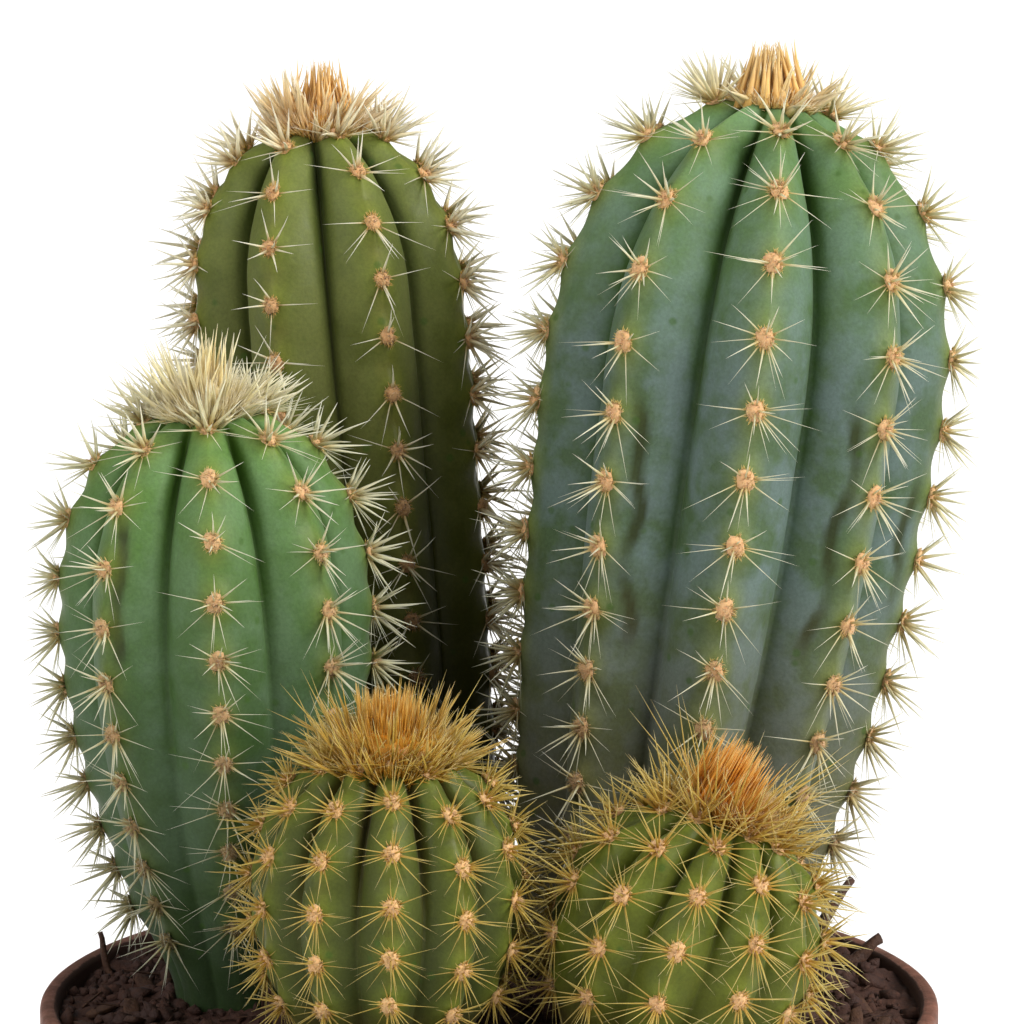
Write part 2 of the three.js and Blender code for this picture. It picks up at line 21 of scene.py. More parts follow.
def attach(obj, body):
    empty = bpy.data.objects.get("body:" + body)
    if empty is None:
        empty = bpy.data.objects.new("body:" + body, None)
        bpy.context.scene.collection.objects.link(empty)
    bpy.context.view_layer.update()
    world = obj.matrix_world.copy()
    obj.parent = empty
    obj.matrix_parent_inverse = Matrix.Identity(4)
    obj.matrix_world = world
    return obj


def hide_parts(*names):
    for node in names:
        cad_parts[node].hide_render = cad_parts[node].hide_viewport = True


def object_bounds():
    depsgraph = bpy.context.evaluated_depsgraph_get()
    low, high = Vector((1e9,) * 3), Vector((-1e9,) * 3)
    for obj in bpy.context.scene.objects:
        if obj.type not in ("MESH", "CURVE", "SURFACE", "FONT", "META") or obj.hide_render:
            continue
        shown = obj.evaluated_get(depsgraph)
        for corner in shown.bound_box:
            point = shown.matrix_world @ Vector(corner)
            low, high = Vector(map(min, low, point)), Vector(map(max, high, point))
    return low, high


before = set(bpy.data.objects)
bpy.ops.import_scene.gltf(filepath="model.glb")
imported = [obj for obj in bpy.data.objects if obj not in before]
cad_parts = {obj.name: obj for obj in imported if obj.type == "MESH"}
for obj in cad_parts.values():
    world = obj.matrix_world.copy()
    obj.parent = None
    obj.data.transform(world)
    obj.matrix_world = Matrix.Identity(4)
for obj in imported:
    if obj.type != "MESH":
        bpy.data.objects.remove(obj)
CAD_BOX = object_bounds()

bl_info = {
    "name": "Potted Tall Cactus",
    "version": (1, 0, 0),
    "blender": (4, 5, 0),
    "location": "3D View > Sidebar > Cactus",
    "description": "Builds a potted columnar cactus with ribs, areoles, spines, soil and pot",
    "category": "Add Mesh",
}

MM = 0.001
TURN = 2 * math.pi
BODY = "root"


def unit(vector):
    return vector / np.linalg.norm(vector)


def ramp(value, start, width):
    """0 at the start and 1 a width further on, upwards or, with a negative width, downwards."""
    return np.clip((value - start) / width, 0, 1)


def bell(offset, width):
    """1 in the middle, falling away evenly on both sides."""
    return np.exp(-((offset / width) ** 2))


# ---------- the form that the solids have, in millimetres ----------

POT_RIM = 60.0
POT_HEIGHT = 104.0
POT_FOOT = 43.0
POT_WALL = 1.5
POT_FLOOR = 2.0
LIP_HEIGHT = 3.4
LIP_WIDTH = 2.3
LIP_FOOT = POT_HEIGHT - LIP_HEIGHT
COLLAR_FOOT = 89.0
COLLAR_STEP = 2.6
COLLAR_FLARE = 1.2  # how much the collar widens on its way up to the lip
STEP_FOOT = COLLAR_FOOT - 2.4  # where the slanted step under the collar starts
DRAIN_HOLES = 6
DRAIN_RADIUS = 4.0
DRAIN_CIRCLE = 27.0

SOIL_EDGE_DROP = 1.6
SOIL_MOUND = 4.4
SOIL_LUMPS = 0.5

CAP_RADIUS = 4.6  # the small top of a stem, under its tuft
GROOVE_FADE = 6.0  # distance from the tuft over which the grooves reach their depth
RIB_SECTION = (0.45, 2.4)  # a rib falls off evenly at first and faster towards the groove
FLAT_PART = (0.75, -0.5)  # the height from which the grooves get shallower, and over how much
SLOT_DEPTH = 1.1  # the narrow slot at the bottom of a groove
SLOT_WIDTH = 0.45
SLOT_PART = (0.45, 0.35)  # the height from which there is a slot, and over how much it gets deep
ROOT_SHAPE = ((0, 1), (0.55, 0.95), (0.88, 0.8), (1, 0.5))  # depth against buried, width against the foot
SLOPE_STEP = 0.002  # how far above and below a height the slope of the crest is measured
CREST_POINTS = 301


@dataclass
class Stem:
    """The form of one stem, from the same values as its solid."""

    key: str
    foot: tuple
    tip: tuple
    bow: float
    girth: float
    waist: float
    shoulder: float
    top_curve: tuple
    ribs: int
    rib_turn: float
    rib_depth: float
    flattening: float  # how much shallower the grooves are in the lower half
    areole_step: float
    crowding: float
    rows: int
    first_areoles: tuple
    buried: float
    crease: float  # how far from the crest a side crease runs, against half a rib
    creases: tuple  # the creased flanks in front: rib, side, and where it starts and ends from the tip
    seed: int

    def __post_init__(self):
        self.foot = np.array(self.foot, float)
        axis = np.array(self.tip, float) - self.foot
        self.length = float(np.linalg.norm(axis))
        self.along = axis / self.length
        front = np.array((0.0, -1.0, 0.0))
        self.front = unit(front - self.along * front.dot(self.along))
        self.side = -np.cross(self.front, self.along)
        self.rib_angle = TURN / self.ribs
        self.heights, self.distances = self.crest_line()
        self.areoles = self.areole_rows()

    def crest_radius(self, u):
        """Radius over the crests at u, 0 at the foot and 1 at the tip."""
        u = np.asarray(u, float)
        rise = np.sin(math.pi / 2 * np.clip(u, 0, self.shoulder) / self.shoulder)
        lower = self.waist + (1 - self.waist) * rise
        p, q = self.top_curve
        top = ramp(u, self.shoulder, 1 - self.shoulder)
        return self.girth * np.where(u < self.shoulder, lower, np.maximum(0, 1 - top**p) ** (1 / q))

    def axis_point(self, u):
        u = np.asarray(u, float)[..., None]
        bow = np.array((4 * self.bow, 0, 0)) * u * (1 - u)
        return self.foot + self.along * self.length * u + bow

    def outward(self, angle):
        angle = np.asarray(angle, float)[..., None]
        return self.front * np.cos(angle) + self.side * np.sin(angle)

    def rib_place(self, angle):
        """The nearest rib's number, and how far off its crest the angle is, to -1 and 1 in the grooves."""
        ribs = (np.asarray(angle, float) - math.radians(self.rib_turn)) / self.rib_angle
        nearest = np.round(ribs)
        return nearest.astype(int) % self.ribs, 2 * (ribs - nearest)

    def surface(self, u, angle, swell=0.0):
        """Points and outward directions of the skin, swell millimetres proud of the plain form."""
        u = np.asarray(u, float)
        radius = self.crest_radius(u)
        below, above = np.maximum(u - SLOPE_STEP, 0), np.minimum(u + SLOPE_STEP, 1)
        fall = self.crest_radius(below) - self.crest_radius(above)
        direction = self.outward(angle)
        normal = direction * (2 * SLOPE_STEP * self.length) + self.along * fall[..., None]
        normal /= np.linalg.norm(normal, axis=-1, keepdims=True)
        off_crest = np.abs(self.rib_place(angle)[1])
        depth = self.rib_depth * self.girth
        full = depth * (1 - np.exp(-np.maximum(0, radius - CAP_RADIUS) / GROOVE_FADE))
        full = full * (1 - self.flattening * ramp(u, *FLAT_PART))
        even, power = RIB_SECTION
        groove = full * (even * off_crest + (1 - even) * off_crest**power)
        off_slot = (1 - off_crest) * self.rib_angle / 2 * radius
        groove += SLOT_DEPTH * ramp(u, *SLOT_PART) * full / depth * bell(off_slot, SLOT_WIDTH)
        points = self.axis_point(u) + direction * radius[..., None] + normal * (swell - groove)[..., None]
        return points, normal

    def crest_line(self):
        """Heights u from the tip down, and the distance along the crest from the tip to each."""
        heights = 1 - np.linspace(0, 1, CREST_POINTS) ** 2
        rise = -np.diff(heights) * self.length
        out = np.diff(self.crest_radius(heights))
        return heights, np.concatenate(([0], np.cumsum(np.hypot(rise, out))))

    def areole_rows(self):
        """The distances from the tip at which each rib carries its areoles, closer together further down."""
        ribs = []
        for distance in self.first_areoles:
            row = []
            for _ in range(self.rows):
                row.append(distance)
                distance += self.areole_step * (1 - self.crowding * (1 - float(self.height_at(distance))))
            ribs.append(row)
        return ribs

    def height_at(self, distance):
        return np.interp(distance, self.distances, self.heights)

    def cap_height(self):
        p, q = self.top_curve
        return self.shoulder + (1 - self.shoulder) * (1 - (CAP_RADIUS / self.girth) ** q) ** (1 / p)

    def clearance(self, point):
        """Rough distance from a point to the skin, measured across the axis."""
        u = (point - self.foot).dot(self.along) / self.length
        if u > 1:
            return float(np.linalg.norm(point - self.axis_point(1)))
        return float(np.linalg.norm(point - self.axis_point(u)) - self.crest_radius(u))


STEMS = [
    Stem(
        "tall_right", foot=(21.2, 12, 106.5), tip=(38.2, 15.5, 222.5), bow=1.2, girth=27.2, waist=0.68,
        shoulder=0.7, top_curve=(2.0, 2.1), ribs=9, rib_turn=1.5, rib_depth=0.24, flattening=0.12,
        areole_step=10.45, crowding=0.37, rows=13, first_areoles=(12.8, 13.7, 14.9, 9, 10, 8, 9, 8.4, 16.9),
        buried=17, crease=0.36, creases=((8, 1, 51, 88), (1, -1, 50, 86), (2, -1, 60, 80)), seed=11,
    ),
    Stem(
        "tall_back", foot=(-14.4, 32, 106.5), tip=(-24.2, 42, 216.2), bow=0, girth=19.6, waist=0.88,
        shoulder=0.76, top_curve=(2.3, 2.2), ribs=8, rib_turn=24, rib_depth=0.22, flattening=0.15,
        areole_step=7.75, crowding=0, rows=13, first_areoles=(8.6, 10.5, 9.5, 10, 9, 11, 12.7, 10.8),
        buried=16, crease=0.38, creases=(), seed=18,
    ),
    Stem(
        "left", foot=(-33.4, 0, 106.5), tip=(-36.9, -4.5, 184.3), bow=-0.4, girth=20.3, waist=0.46,
        shoulder=0.64, top_curve=(2.3, 2.3), ribs=8, rib_turn=3.5, rib_depth=0.2, flattening=0.5,
        areole_step=8.5, crowding=0.41, rows=11, first_areoles=(7.9, 11.6, 7.2, 8, 8.5, 9, 8.2, 12.2),
        buried=14, crease=0.3, creases=((7, 1, 20, 44),), seed=25,
    ),
    Stem(
        "small_left", foot=(-13.4, -33, 106), tip=(-12.4, -34.5, 145.8), bow=0, girth=17.1, waist=0.62,
        shoulder=0.5, top_curve=(2.2, 2.2), ribs=11, rib_turn=3, rib_depth=0.16, flattening=0,
        areole_step=6.6, crowding=0, rows=6, first_areoles=(6.2, 8.6, 8, 7.5, 7, 8, 7, 7, 7.5, 9.4, 8),
        buried=13, crease=0.45, creases=(), seed=32,
    ),
    Stem(
        "small_right", foot=(20, -31.5, 106), tip=(30.8, -33.5, 136.8), bow=0, girth=17, waist=0.7,
        shoulder=0.45, top_curve=(2.2, 2.2), ribs=11, rib_turn=-7, rib_depth=0.16, flattening=0,
        areole_step=7.5, crowding=0.1, rows=5, first_areoles=(9.9, 6.2, 8, 7.5, 7.5, 8, 7.5, 7.5, 8, 9, 6.4),
        buried=13, crease=0.45, creases=(), seed=39,
    ),
]


def pot_inside(z):
    """Inner radius of the pot at height z."""
    lip = POT_RIM - LIP_WIDTH
    body_top = POT_RIM - LIP_WIDTH - COLLAR_STEP - COLLAR_FLARE
    if z < COLLAR_FOOT:
        part = (z - POT_FLOOR) / (COLLAR_FOOT - POT_FLOOR)
        return (POT_FOOT - POT_WALL) * (1 - part) + body_top * part
    part = (z - COLLAR_FOOT) / (POT_HEIGHT - COLLAR_FOOT)
    return (body_top + COLLAR_STEP) * (1 - part) + lip * part


def soil_height(x, y):
    reach = math.hypot(x, y) / POT_RIM
    lumps = math.sin(x / 5.1 + 1) * math.cos(y / 6.3) + math.sin((x + 2 * y) / 9.7)
    return POT_HEIGHT - SOIL_EDGE_DROP + SOIL_MOUND * (1 - reach**2) + SOIL_LUMPS * lumps


# ---------- helpers ----------

NEEDLE_BENDS = (0, 0.8, 1.6, 2.4)  # how far its point is off, against its radius
NEEDLE_POINT = 0.03  # how thick the point is, against the root


def linear(hex_colour):
    """An sRGB hex colour as the linear RGBA that sockets take."""
    channels = [int(hex_colour[i : i + 2], 16) / 255 for i in (1, 3, 5)]
    return (*(c / 12.92 if c <= 0.04045 else ((c + 0.055) / 1.055) ** 2.4 for c in channels), 1.0)


def per_mm(size):
    """The scale of a pattern on Object coordinates whose features are size millimetres wide."""
    return 1 / (size * MM)


def feed(tree, socket, source):
    """Gives a socket a value, a socket, a node's first output in use, or a mesh attribute by its name."""
    if isinstance(source, str):
        source = add_node(tree, "Attribute", attribute_name=source).outputs["Fac"]
    elif isinstance(source, bpy.types.Node):
        source = next(output for output in source.outputs if output.enabled)
    if isinstance(source, bpy.types.NodeSocket):
        tree.links.new(source, socket)
    else:
        socket.default_value = source


def add_node(tree, kind, inputs=None, **settings):
    """Adds a shader node, with its settings and with what feeds its inputs."""
    node = tree.nodes.new("ShaderNode" + kind)
    for name, value in settings.items():
        setattr(node, name, value)
    for name, source in (inputs or {}).items():
        feed(tree, node.inputs[name], source)
    return node


def to_mesh(bm, name):
    """The mesh of a finished bmesh."""
    mesh = bpy.data.meshes.new(name)
    bm.to_mesh(mesh)
    bm.free()
    return mesh


def put_in_scene(name, data):
    """A new object of the scene, at the origin."""
    thing = bpy.data.objects.new(name, data)
    bpy.context.scene.collection.objects.link(thing)
    return thing


def finish_piece(bm, name, material, node, values=None):
    """Turns a bmesh in millimetres into a piece in metres that stands for a node of the model."""
    bmesh.ops.scale(bm, vec=(MM, MM, MM), verts=bm.verts)
    mesh = to_mesh(bm, name)
    mesh.shade_smooth()
    for label, numbers in (values or {}).items():
        attribute = mesh.attributes.new(label, "FLOAT", "POINT")
        attribute.data.foreach_set("value", np.asarray(numbers, np.float32))
    mesh.materials.append(material)
    piece = put_in_scene(name, mesh)
    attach(piece, BODY)
    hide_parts(node)


def scatter(bm, shape, matrix):
    """Adds a copy of a shape to a bmesh, placed by a matrix."""
    copy = shape.copy()
    copy.transform(matrix)
    bm.from_mesh(copy)
    bpy.data.meshes.remove(copy)


def axes_matrix(origin, x, y, z):
    """The matrix that lays a shape's axes on three vectors."""
    return Matrix((*zip(x, y, z, origin), (0, 0, 0, 1)))


def raise_rod(sides, top, cuts):
    """A closed rod of radius 1 at its foot and length 1 up +Z, cut across for bending."""
    bm = bmesh.new()
    bmesh.ops.create_cone(bm, cap_ends=True, segments=sides, radius1=1, radius2=top, depth=1)
    bmesh.ops.translate(bm, vec=(0, 0, 0.5), verts=bm.verts)
    upright = [edge for edge in bm.edges if abs(edge.verts[0].co.z - edge.verts[1].co.z) > 0.5]
    bmesh.ops.subdivide_edges(bm, edges=upright, cuts=cuts)
    return bm


def needle_shape(name, sides, cuts, bend, taper):
    """A needle of radius 1 and length 1 up +Z, bent towards +X by bend radii."""
    bm = raise_rod(sides, 1, cuts)
    for vert in bm.verts:
        part = vert.co.z
        width = max(NEEDLE_POINT, (1 - part) ** taper)
        vert.co.x = vert.co.x * width + bend * part**2
        vert.co.y *= width
    bmesh.ops.recalc_face_normals(bm, faces=bm.faces)
    return to_mesh(bm, name)


def lump_shape(name, seed, subdivisions, roughness):
    """An uneven round lump of radius 1."""
    bm = bmesh.new()
    bmesh.ops.create_icosphere(bm, subdivisions=subdivisions, radius=1)
    for vert in bm.verts:
        vert.co *= 1 + roughness * noise.noise(vert.co * 1.3 + Vector((7.1 * seed, 0, 0)))
    return to_mesh(bm, name)


class Needles:
    """Needles and lumps gathered for one piece, with the values that its material reads at each vertex."""

    def __init__(self, sides=5, cuts=2, taper=1.0):
        self.shapes = [needle_shape(f"needle_{bend}", sides, cuts, bend, taper) for bend in NEEDLE_BENDS]
        self.along = [vert.co.z for vert in self.shapes[0].vertices]
        self.bm = bmesh.new()
        self.marks = {}

    def place(self, shape, matrix, **marks):
        scatter(self.bm, shape, matrix)
        for label, value in marks.items():
            self.marks.setdefault(label, []).append(np.broadcast_to(value, len(shape.vertices)))

    def add(self, root, direction, length, radius, rng, **marks):
        direction = unit(direction)
        aside = unit(np.cross(direction, (rng.uniform(-1, 1), rng.uniform(-1, 1), 0.37)))
        across = np.cross(direction, aside)
        matrix = axes_matrix(root, aside * radius, across * radius, direction * length)
        self.place(rng.choice(self.shapes), matrix, along=self.along, tone=rng.random(), **marks)

    def values(self):
        return {label: np.concatenate(parts) for label, parts in self.marks.items()}


# ---------- settings ----------


def colour(name, description, hex_colour):
    return FloatVectorProperty(
        name=name, description=description, subtype="COLOR", size=4, min=0, max=1, default=linear(hex_colour)
    )


def length(name, description, millimetres):
    return FloatProperty(name=name, description=description, unit="LENGTH", min=0, default=millimetres * MM)


def shift(name, description, millimetres):
    return FloatProperty(name=name, description=description, unit="LENGTH", default=millimetres * MM)


def angle(name, description, degrees):
    return FloatProperty(name=name, description=description, subtype="ANGLE", default=math.radians(degrees))


def share(name, description, part):
    return FloatProperty(name=name, description=description, subtype="FACTOR", min=0, max=1, default=part)


def amount(name, description, value):
    return FloatProperty(name=name, description=description, min=0, default=value)


def count(name, description, number):
    return IntProperty(name=name, description=description, min=0, default=number)


# What may be set on a stem, in the groups that stem_settings() takes.
STEM_FIELDS = {
    "skin": (
        ("wax", colour, "Wax bloom", "Skin where the pale wax lies thick"),
        ("green", colour, "Bare skin", "Skin where the wax is thin"),
        ("crest", colour, "Crest", "Skin along the rib crests, where the wax is rubbed off"),
        # The groove colour is darker than the skin: painted shade in the grooves.
        ("groove", colour, "Groove", "Skin in the grooves between the ribs"),
        ("fresh", colour, "Fresh skin", "Skin of this year's growth at the top"),
    ),
    "cork": (
        # This colour is corky skin at the foot, and painted shade over the lower stem where it is dark and
        # reaches high; it also tints the felt and spines there.
        ("cork", colour, "Cork", "Corky skin at the foot"),
        ("cork_height", length, "Cork height", "How high the corky skin reaches"),
    ),
    "horn": (
        ("spine", colour, "Old spines", "Colour of the grown spines"),
        ("young", colour, "Young spines", "Colour of the young spines and wool round the growing point"),
        ("core", colour, "Newest spines", "Colour of the newest spines on the growing point"),
        ("point", colour, "Spine points", "Colour of the bleached points of the spines"),
    ),
    "felt": (
        ("felt", colour, "Felt", "Colour of the felt in the middle of an areole"),
        ("felt_rim", colour, "Felt rim", "Colour of the wool round an areole"),
    ),
    "spines": (
        ("spine_count", count, "Side spines", "Spines round an areole"),
        ("central_count", count, "Middle spines", "Stouter spines that stand out from an areole"),
        ("rubbed", share, "Rubbed front", "Share of the spines that is rubbed off in front"),
    ),
    "spine_size": (
        ("spine_short", length, "Shortest spine", "Length of the shortest grown spines"),
        ("spine_long", length, "Longest spine", "Length of the longest grown spines"),
        ("spine_thick", length, "Spine thickness", "Thickness of a side spine at its root"),
        ("central_thick", length, "Middle spine thickness", "Thickness of a middle spine at its root"),
    ),
    "pad": (
        ("pad_width", length, "Areole width", "Width of an areole across its rib"),
        ("pad_height", length, "Areole height", "Height of an areole along its rib"),
    ),
    "wool": (
        ("wool_count", count, "Wool hairs", "Hairs of the crown's cushion"),
        ("wool_height", length, "Wool height", "Length of the hairs in the middle of the cushion"),
        ("wool_spread", length, "Wool spread", "Radius of the cushion on the crown"),
    ),
    "spikes": (
        ("spike_count", count, "Spikes", "Spikes round the crown"),
        ("spike_bunch", count, "Bunch", "Spines that close into one spike"),
        ("spike_height", length, "Spike height", "Length of the spikes near the middle of the crown"),
        ("spike_side", length, "Side spikes", "Length of the spikes at the edge of the crown"),
        ("spike_width", length, "Spike width", "Width of a spike at its root"),
    ),
    "newest": (
        ("core_count", count, "Core spines", "Newest spines in the core"),
        ("core_height", length, "Core height", "Height of the core of newest spines"),
        ("core_spread", length, "Core spread", "Radius of the core's foot"),
        ("core_lean", angle, "Core lean", "How far the core leans to the right of the stem"),
        ("core_shift", shift, "Core shift", "How far the core stands to the right of the tip"),
        ("core_loose", amount, "Core looseness", "Width of the core at its points against its foot"),
    ),
    "strays": (
        ("stray_count", count, "Strays", "Long single spines on the crown"),
        ("stray_length", length, "Stray length", "Length of the long single spines"),
    ),
}


def stem_settings(title, **defaults):
    """A PropertyGroup for one stem, whose defaults are what that stem shows."""
    fields = {}
    for group, rows in STEM_FIELDS.items():
        for (key, kind, name, description), default in zip(rows, defaults[group], strict=True):
            fields[key] = kind(name, description, default)
    contents = {"__doc__": f"Sizes and colours of the {title} stem.", "__annotations__": fields}
    return type("CACTUS_PG_" + title.lower().replace(" ", "_"), (PropertyGroup,), contents)


StemTallRight = stem_settings(
    "Tall right", skin=("#5a6b65", "#465a3e", "#667448", "#2e4a06", "#668c4a"), cork=("#66583e", 58),
    horn=("#c2bc98", "#e4c07c", "#e0a244", "#dcd8c0"), felt=("#d8a27c", "#c4a458"),
    spines=(12, 12, 0.5), spine_size=(7.6, 9.6, 0.25, 0.46), pad=(3.1, 3.8),
    wool=(1100, 4.6, 5.4), spikes=(18, 3, 8.2, 7.4, 2), newest=(70, 9.9, 5.4, -10, -0.8, 0.3), strays=(0, 8),
)
StemTallBack = stem_settings(
    # Its near-black cork colour reaching almost to the tip is painted shade, the shadow that the tall right
    # stem casts on this one.
    "Tall back", skin=("#62682f", "#52591f", "#706a2a", "#2a3408", "#66723a"), cork=("#22180a", 106),
    horn=("#d6ceb0", "#dcae54", "#d28e28", "#e2dcc6"), felt=("#d8a074", "#bc9440"),
    spines=(10, 12, 0.75), spine_size=(7.4, 9.2, 0.26, 0.52), pad=(2.6, 3.0),
    wool=(1800, 6.2, 6.8), spikes=(40, 3, 10.6, 9, 2.0), newest=(80, 9.8, 5.4, 4, 0.8, 0.4), strays=(0, 8),
)
StemLeft = stem_settings(
    # Its dark green cork colour on the lower stem is painted shade.
    "Left", skin=("#546c50", "#3e5a2e", "#5c703a", "#2f4c06", "#648844"), cork=("#2c3c20", 74),
    horn=("#c0bc9a", "#e0cc90", "#dcc48a", "#d8d4bc"), felt=("#d8a27c", "#c4a85c"),
    spines=(12, 12, 0.5), spine_size=(6.8, 9, 0.24, 0.44), pad=(2.8, 3.2),
    wool=(2200, 7.6, 5.8), spikes=(34, 3, 13.2, 9.2, 1.6), newest=(30, 12.2, 3, 8, 0, 0.6), strays=(8, 13),
)
StemSmallLeft = stem_settings(
    "Small left", skin=("#3a421a", "#343c12", "#5a4e14", "#3a300c", "#484e1c"), cork=("#4a3620", 10),
    horn=("#9c843a", "#a8822a", "#c0700c", "#b49c54"), felt=("#dcb07c", "#c89c48"),
    spines=(16, 12, 0.2), spine_size=(5, 8, 0.24, 0.34), pad=(2.6, 3.0),
    wool=(2400, 7.6, 9), spikes=(60, 3, 10.4, 9.4, 0.8), newest=(240, 8.8, 3.8, 2, 0, 1.3), strays=(26, 12),
)
StemSmallRight = stem_settings(
    "Small right", skin=("#4e5216", "#464c12", "#605c1a", "#3c420c", "#545e1c"), cork=("#4a3e1c", 8),
    horn=("#a48c42", "#b68426", "#d2700a", "#b8a464"), felt=("#dcac80", "#c89c48"),
    spines=(16, 12, 0.2), spine_size=(7, 10.5, 0.26, 0.34), pad=(2.8, 3.2),
    wool=(1600, 7, 5.4), spikes=(26, 3, 10.5, 9, 0.9), newest=(260, 11, 4, 10, -2.6, 1.2), strays=(30, 17),
)


class SoilSettings(PropertyGroup):
    """Colours and litter of the soil."""

    peat: colour("Peat", "Colour of the damp peat", "#36211a")
    dry: colour("Dry crumbs", "Colour of the drier crumbs on top", "#4c3024")
    wood: colour("Wood", "Colour of the darkest fibres, bark bits and twigs", "#3a241a")
    fibre: colour("Fibres", "Colour of the fibres and bark bits", "#583c2a")
    crumbs: count("Crumbs", "Loose crumbs on the soil", 2600)
    fibres: count("Fibres", "Loose fibres on the soil", 320)
    flakes: count("Bark flakes", "Flat bits of bark on the soil", 110)


class PotSettings(PropertyGroup):
    """Looks of the pot."""

    plastic: colour("Plastic", "Colour of the clean plastic", "#94604c")
    scuffed: colour("Scuffed", "Colour where the plastic is rubbed and dusty", "#b08470")
    soiled: colour("Soiled", "Colour of the soil that sticks to the wall", "#38231a")
    lip_round: length("Lip rounding", "Radius of the rounding on the lip", 0.9)


class StageSettings(PropertyGroup):
    """Floor and light."""

    floor: colour("Floor", "Colour of the floor", "#fefefe")
    key: amount("Key light", "Strength of the soft key light", 4.1)
    fill: amount("Fill light", "Strength of the even light all round", 0.24)
    edge: amount("Side light", "Strength of the weak light from the left", 1.7)
    key_turn: angle("Key direction", "How far the key light stands to the right", 62)
    key_rise: angle("Key height", "How high the key light stands", 35)


class CactusSettings(PropertyGroup):
    """Everything that a user may change on the plant."""

    tall_right: PointerProperty(name="Tall right stem", type=StemTallRight)
    tall_back: PointerProperty(name="Tall back stem", type=StemTallBack)
    left: PointerProperty(name="Left stem", type=StemLeft)
    small_left: PointerProperty(name="Small left stem", type=StemSmallLeft)
    small_right: PointerProperty(name="Small right stem", type=StemSmallRight)
    soil: PointerProperty(name="Soil", type=SoilSettings)
    pot: PointerProperty(name="Pot", type=PotSettings)
    stage: PointerProperty(name="Stage", type=StageSettings)


# ---------- materials ----------

FACTOR, A, B = 0, 6, 7  # sockets of a Mix node for colours, which has several of each name


def new_material(name):
    """A material, what adds a node to it, and the Object coordinates that its patterns lie on."""
    material = bpy.data.materials.new(name)
    material.use_nodes = True
    add = partial(add_node, material.node_tree)
    return material, add, add("TexCoord").outputs["Object"]


def set_surface(material, **surface):
    """Gives the Principled surface its even properties, and what feeds the others."""
    tree = material.node_tree
    for name, source in surface.items():
        feed(tree, tree.nodes["Principled BSDF"].inputs[name.replace("_", " ")], source)
    return material


def skin_material(stem, look):
    """Waxy epidermis. Powdery blue-green bloom on the flanks, rubbed to bare green along the crests, dark in
    the grooves and creases, with small scars and a corky foot: the eye sees a living, handled plant."""
    material, add, place = new_material(f"waxy epidermis {stem.key}")
    patches = add("TexNoise", {"Vector": place, "Scale": per_mm(7), "Detail": 4, "Roughness": 0.6})
    bloom = add("MapRange", {"Value": patches, "From Min": 0.4, "From Max": 0.6})
    near_crest = add(
        "MapRange", {"Value": "off_crest", "From Min": 0.02, "From Max": 0.3, "To Min": 1, "To Max": 0}
    )
    rubbing = add("TexNoise", {"Vector": place, "Scale": per_mm(3.5), "Detail": 3})
    rubbed = add("Math", {0: near_crest, 1: rubbing}, operation="MULTIPLY")
    cells = add("TexVoronoi", {"Vector": place, "Scale": per_mm(4.6)})
    scars = add("MapRange", {"Value": cells, "From Min": 0.08, "From Max": 0.15, "To Min": 1, "To Max": 0})
    skin = look.green
    for cover, most, tint in (
        (bloom, 1, look.wax), (rubbed, 1, look.crest), ("crown", 0.6, look.fresh),
        # The groove and crease tints are painted shade in those hollows.
        ("groove", 0.9, look.groove), ("crease", 0.92, linear("#283010")), ("glow", 0.7, linear("#74802a")),
        # The cork tint is corky skin at the foot and, on some stems, painted shade over the lower stem.
        ("cork", 0.9, look.cork), (scars, 0.55, linear("#375418")),
    ):
        cover = add("Math", {0: cover, 1: most}, operation="MULTIPLY")
        skin = add("Mix", {FACTOR: cover, A: skin, B: tint}, data_type="RGBA")
    # The pores are about 0.05 mm wide; they are drawn at 0.45 mm, the finest that still shows.
    pores = add("TexNoise", {"Vector": place, "Scale": per_mm(0.45), "Detail": 3, "Roughness": 0.7})
    speckle = add(
        "MapRange", {"Value": pores, "From Min": 0.3, "From Max": 0.7, "To Min": 0.86, "To Max": 1.12}
    )
    skin = add("Mix", {FACTOR: 1, A: skin, B: speckle}, data_type="RGBA", blend_type="MULTIPLY")
    bump = add("Bump", {"Height": pores, "Strength": 0.5, "Distance": 0.06 * MM})
    bump = add("Bump", {"Height": rubbing, "Strength": 0.5, "Distance": 0.35 * MM, "Normal": bump})
    return set_surface(
        material, Base_Color=skin, Normal=bump, IOR=1.43, Specular_IOR_Level=0.22,
        Roughness=add("MapRange", {"Value": bloom, "To Min": 0.42, "To Max": 0.62}),
        Subsurface_Weight=0.12, Subsurface_Scale=1.5 * MM, Subsurface_Radius=(0.5, 1.0, 0.4),
        Sheen_Weight=0.04, Sheen_Roughness=0.5,
    )


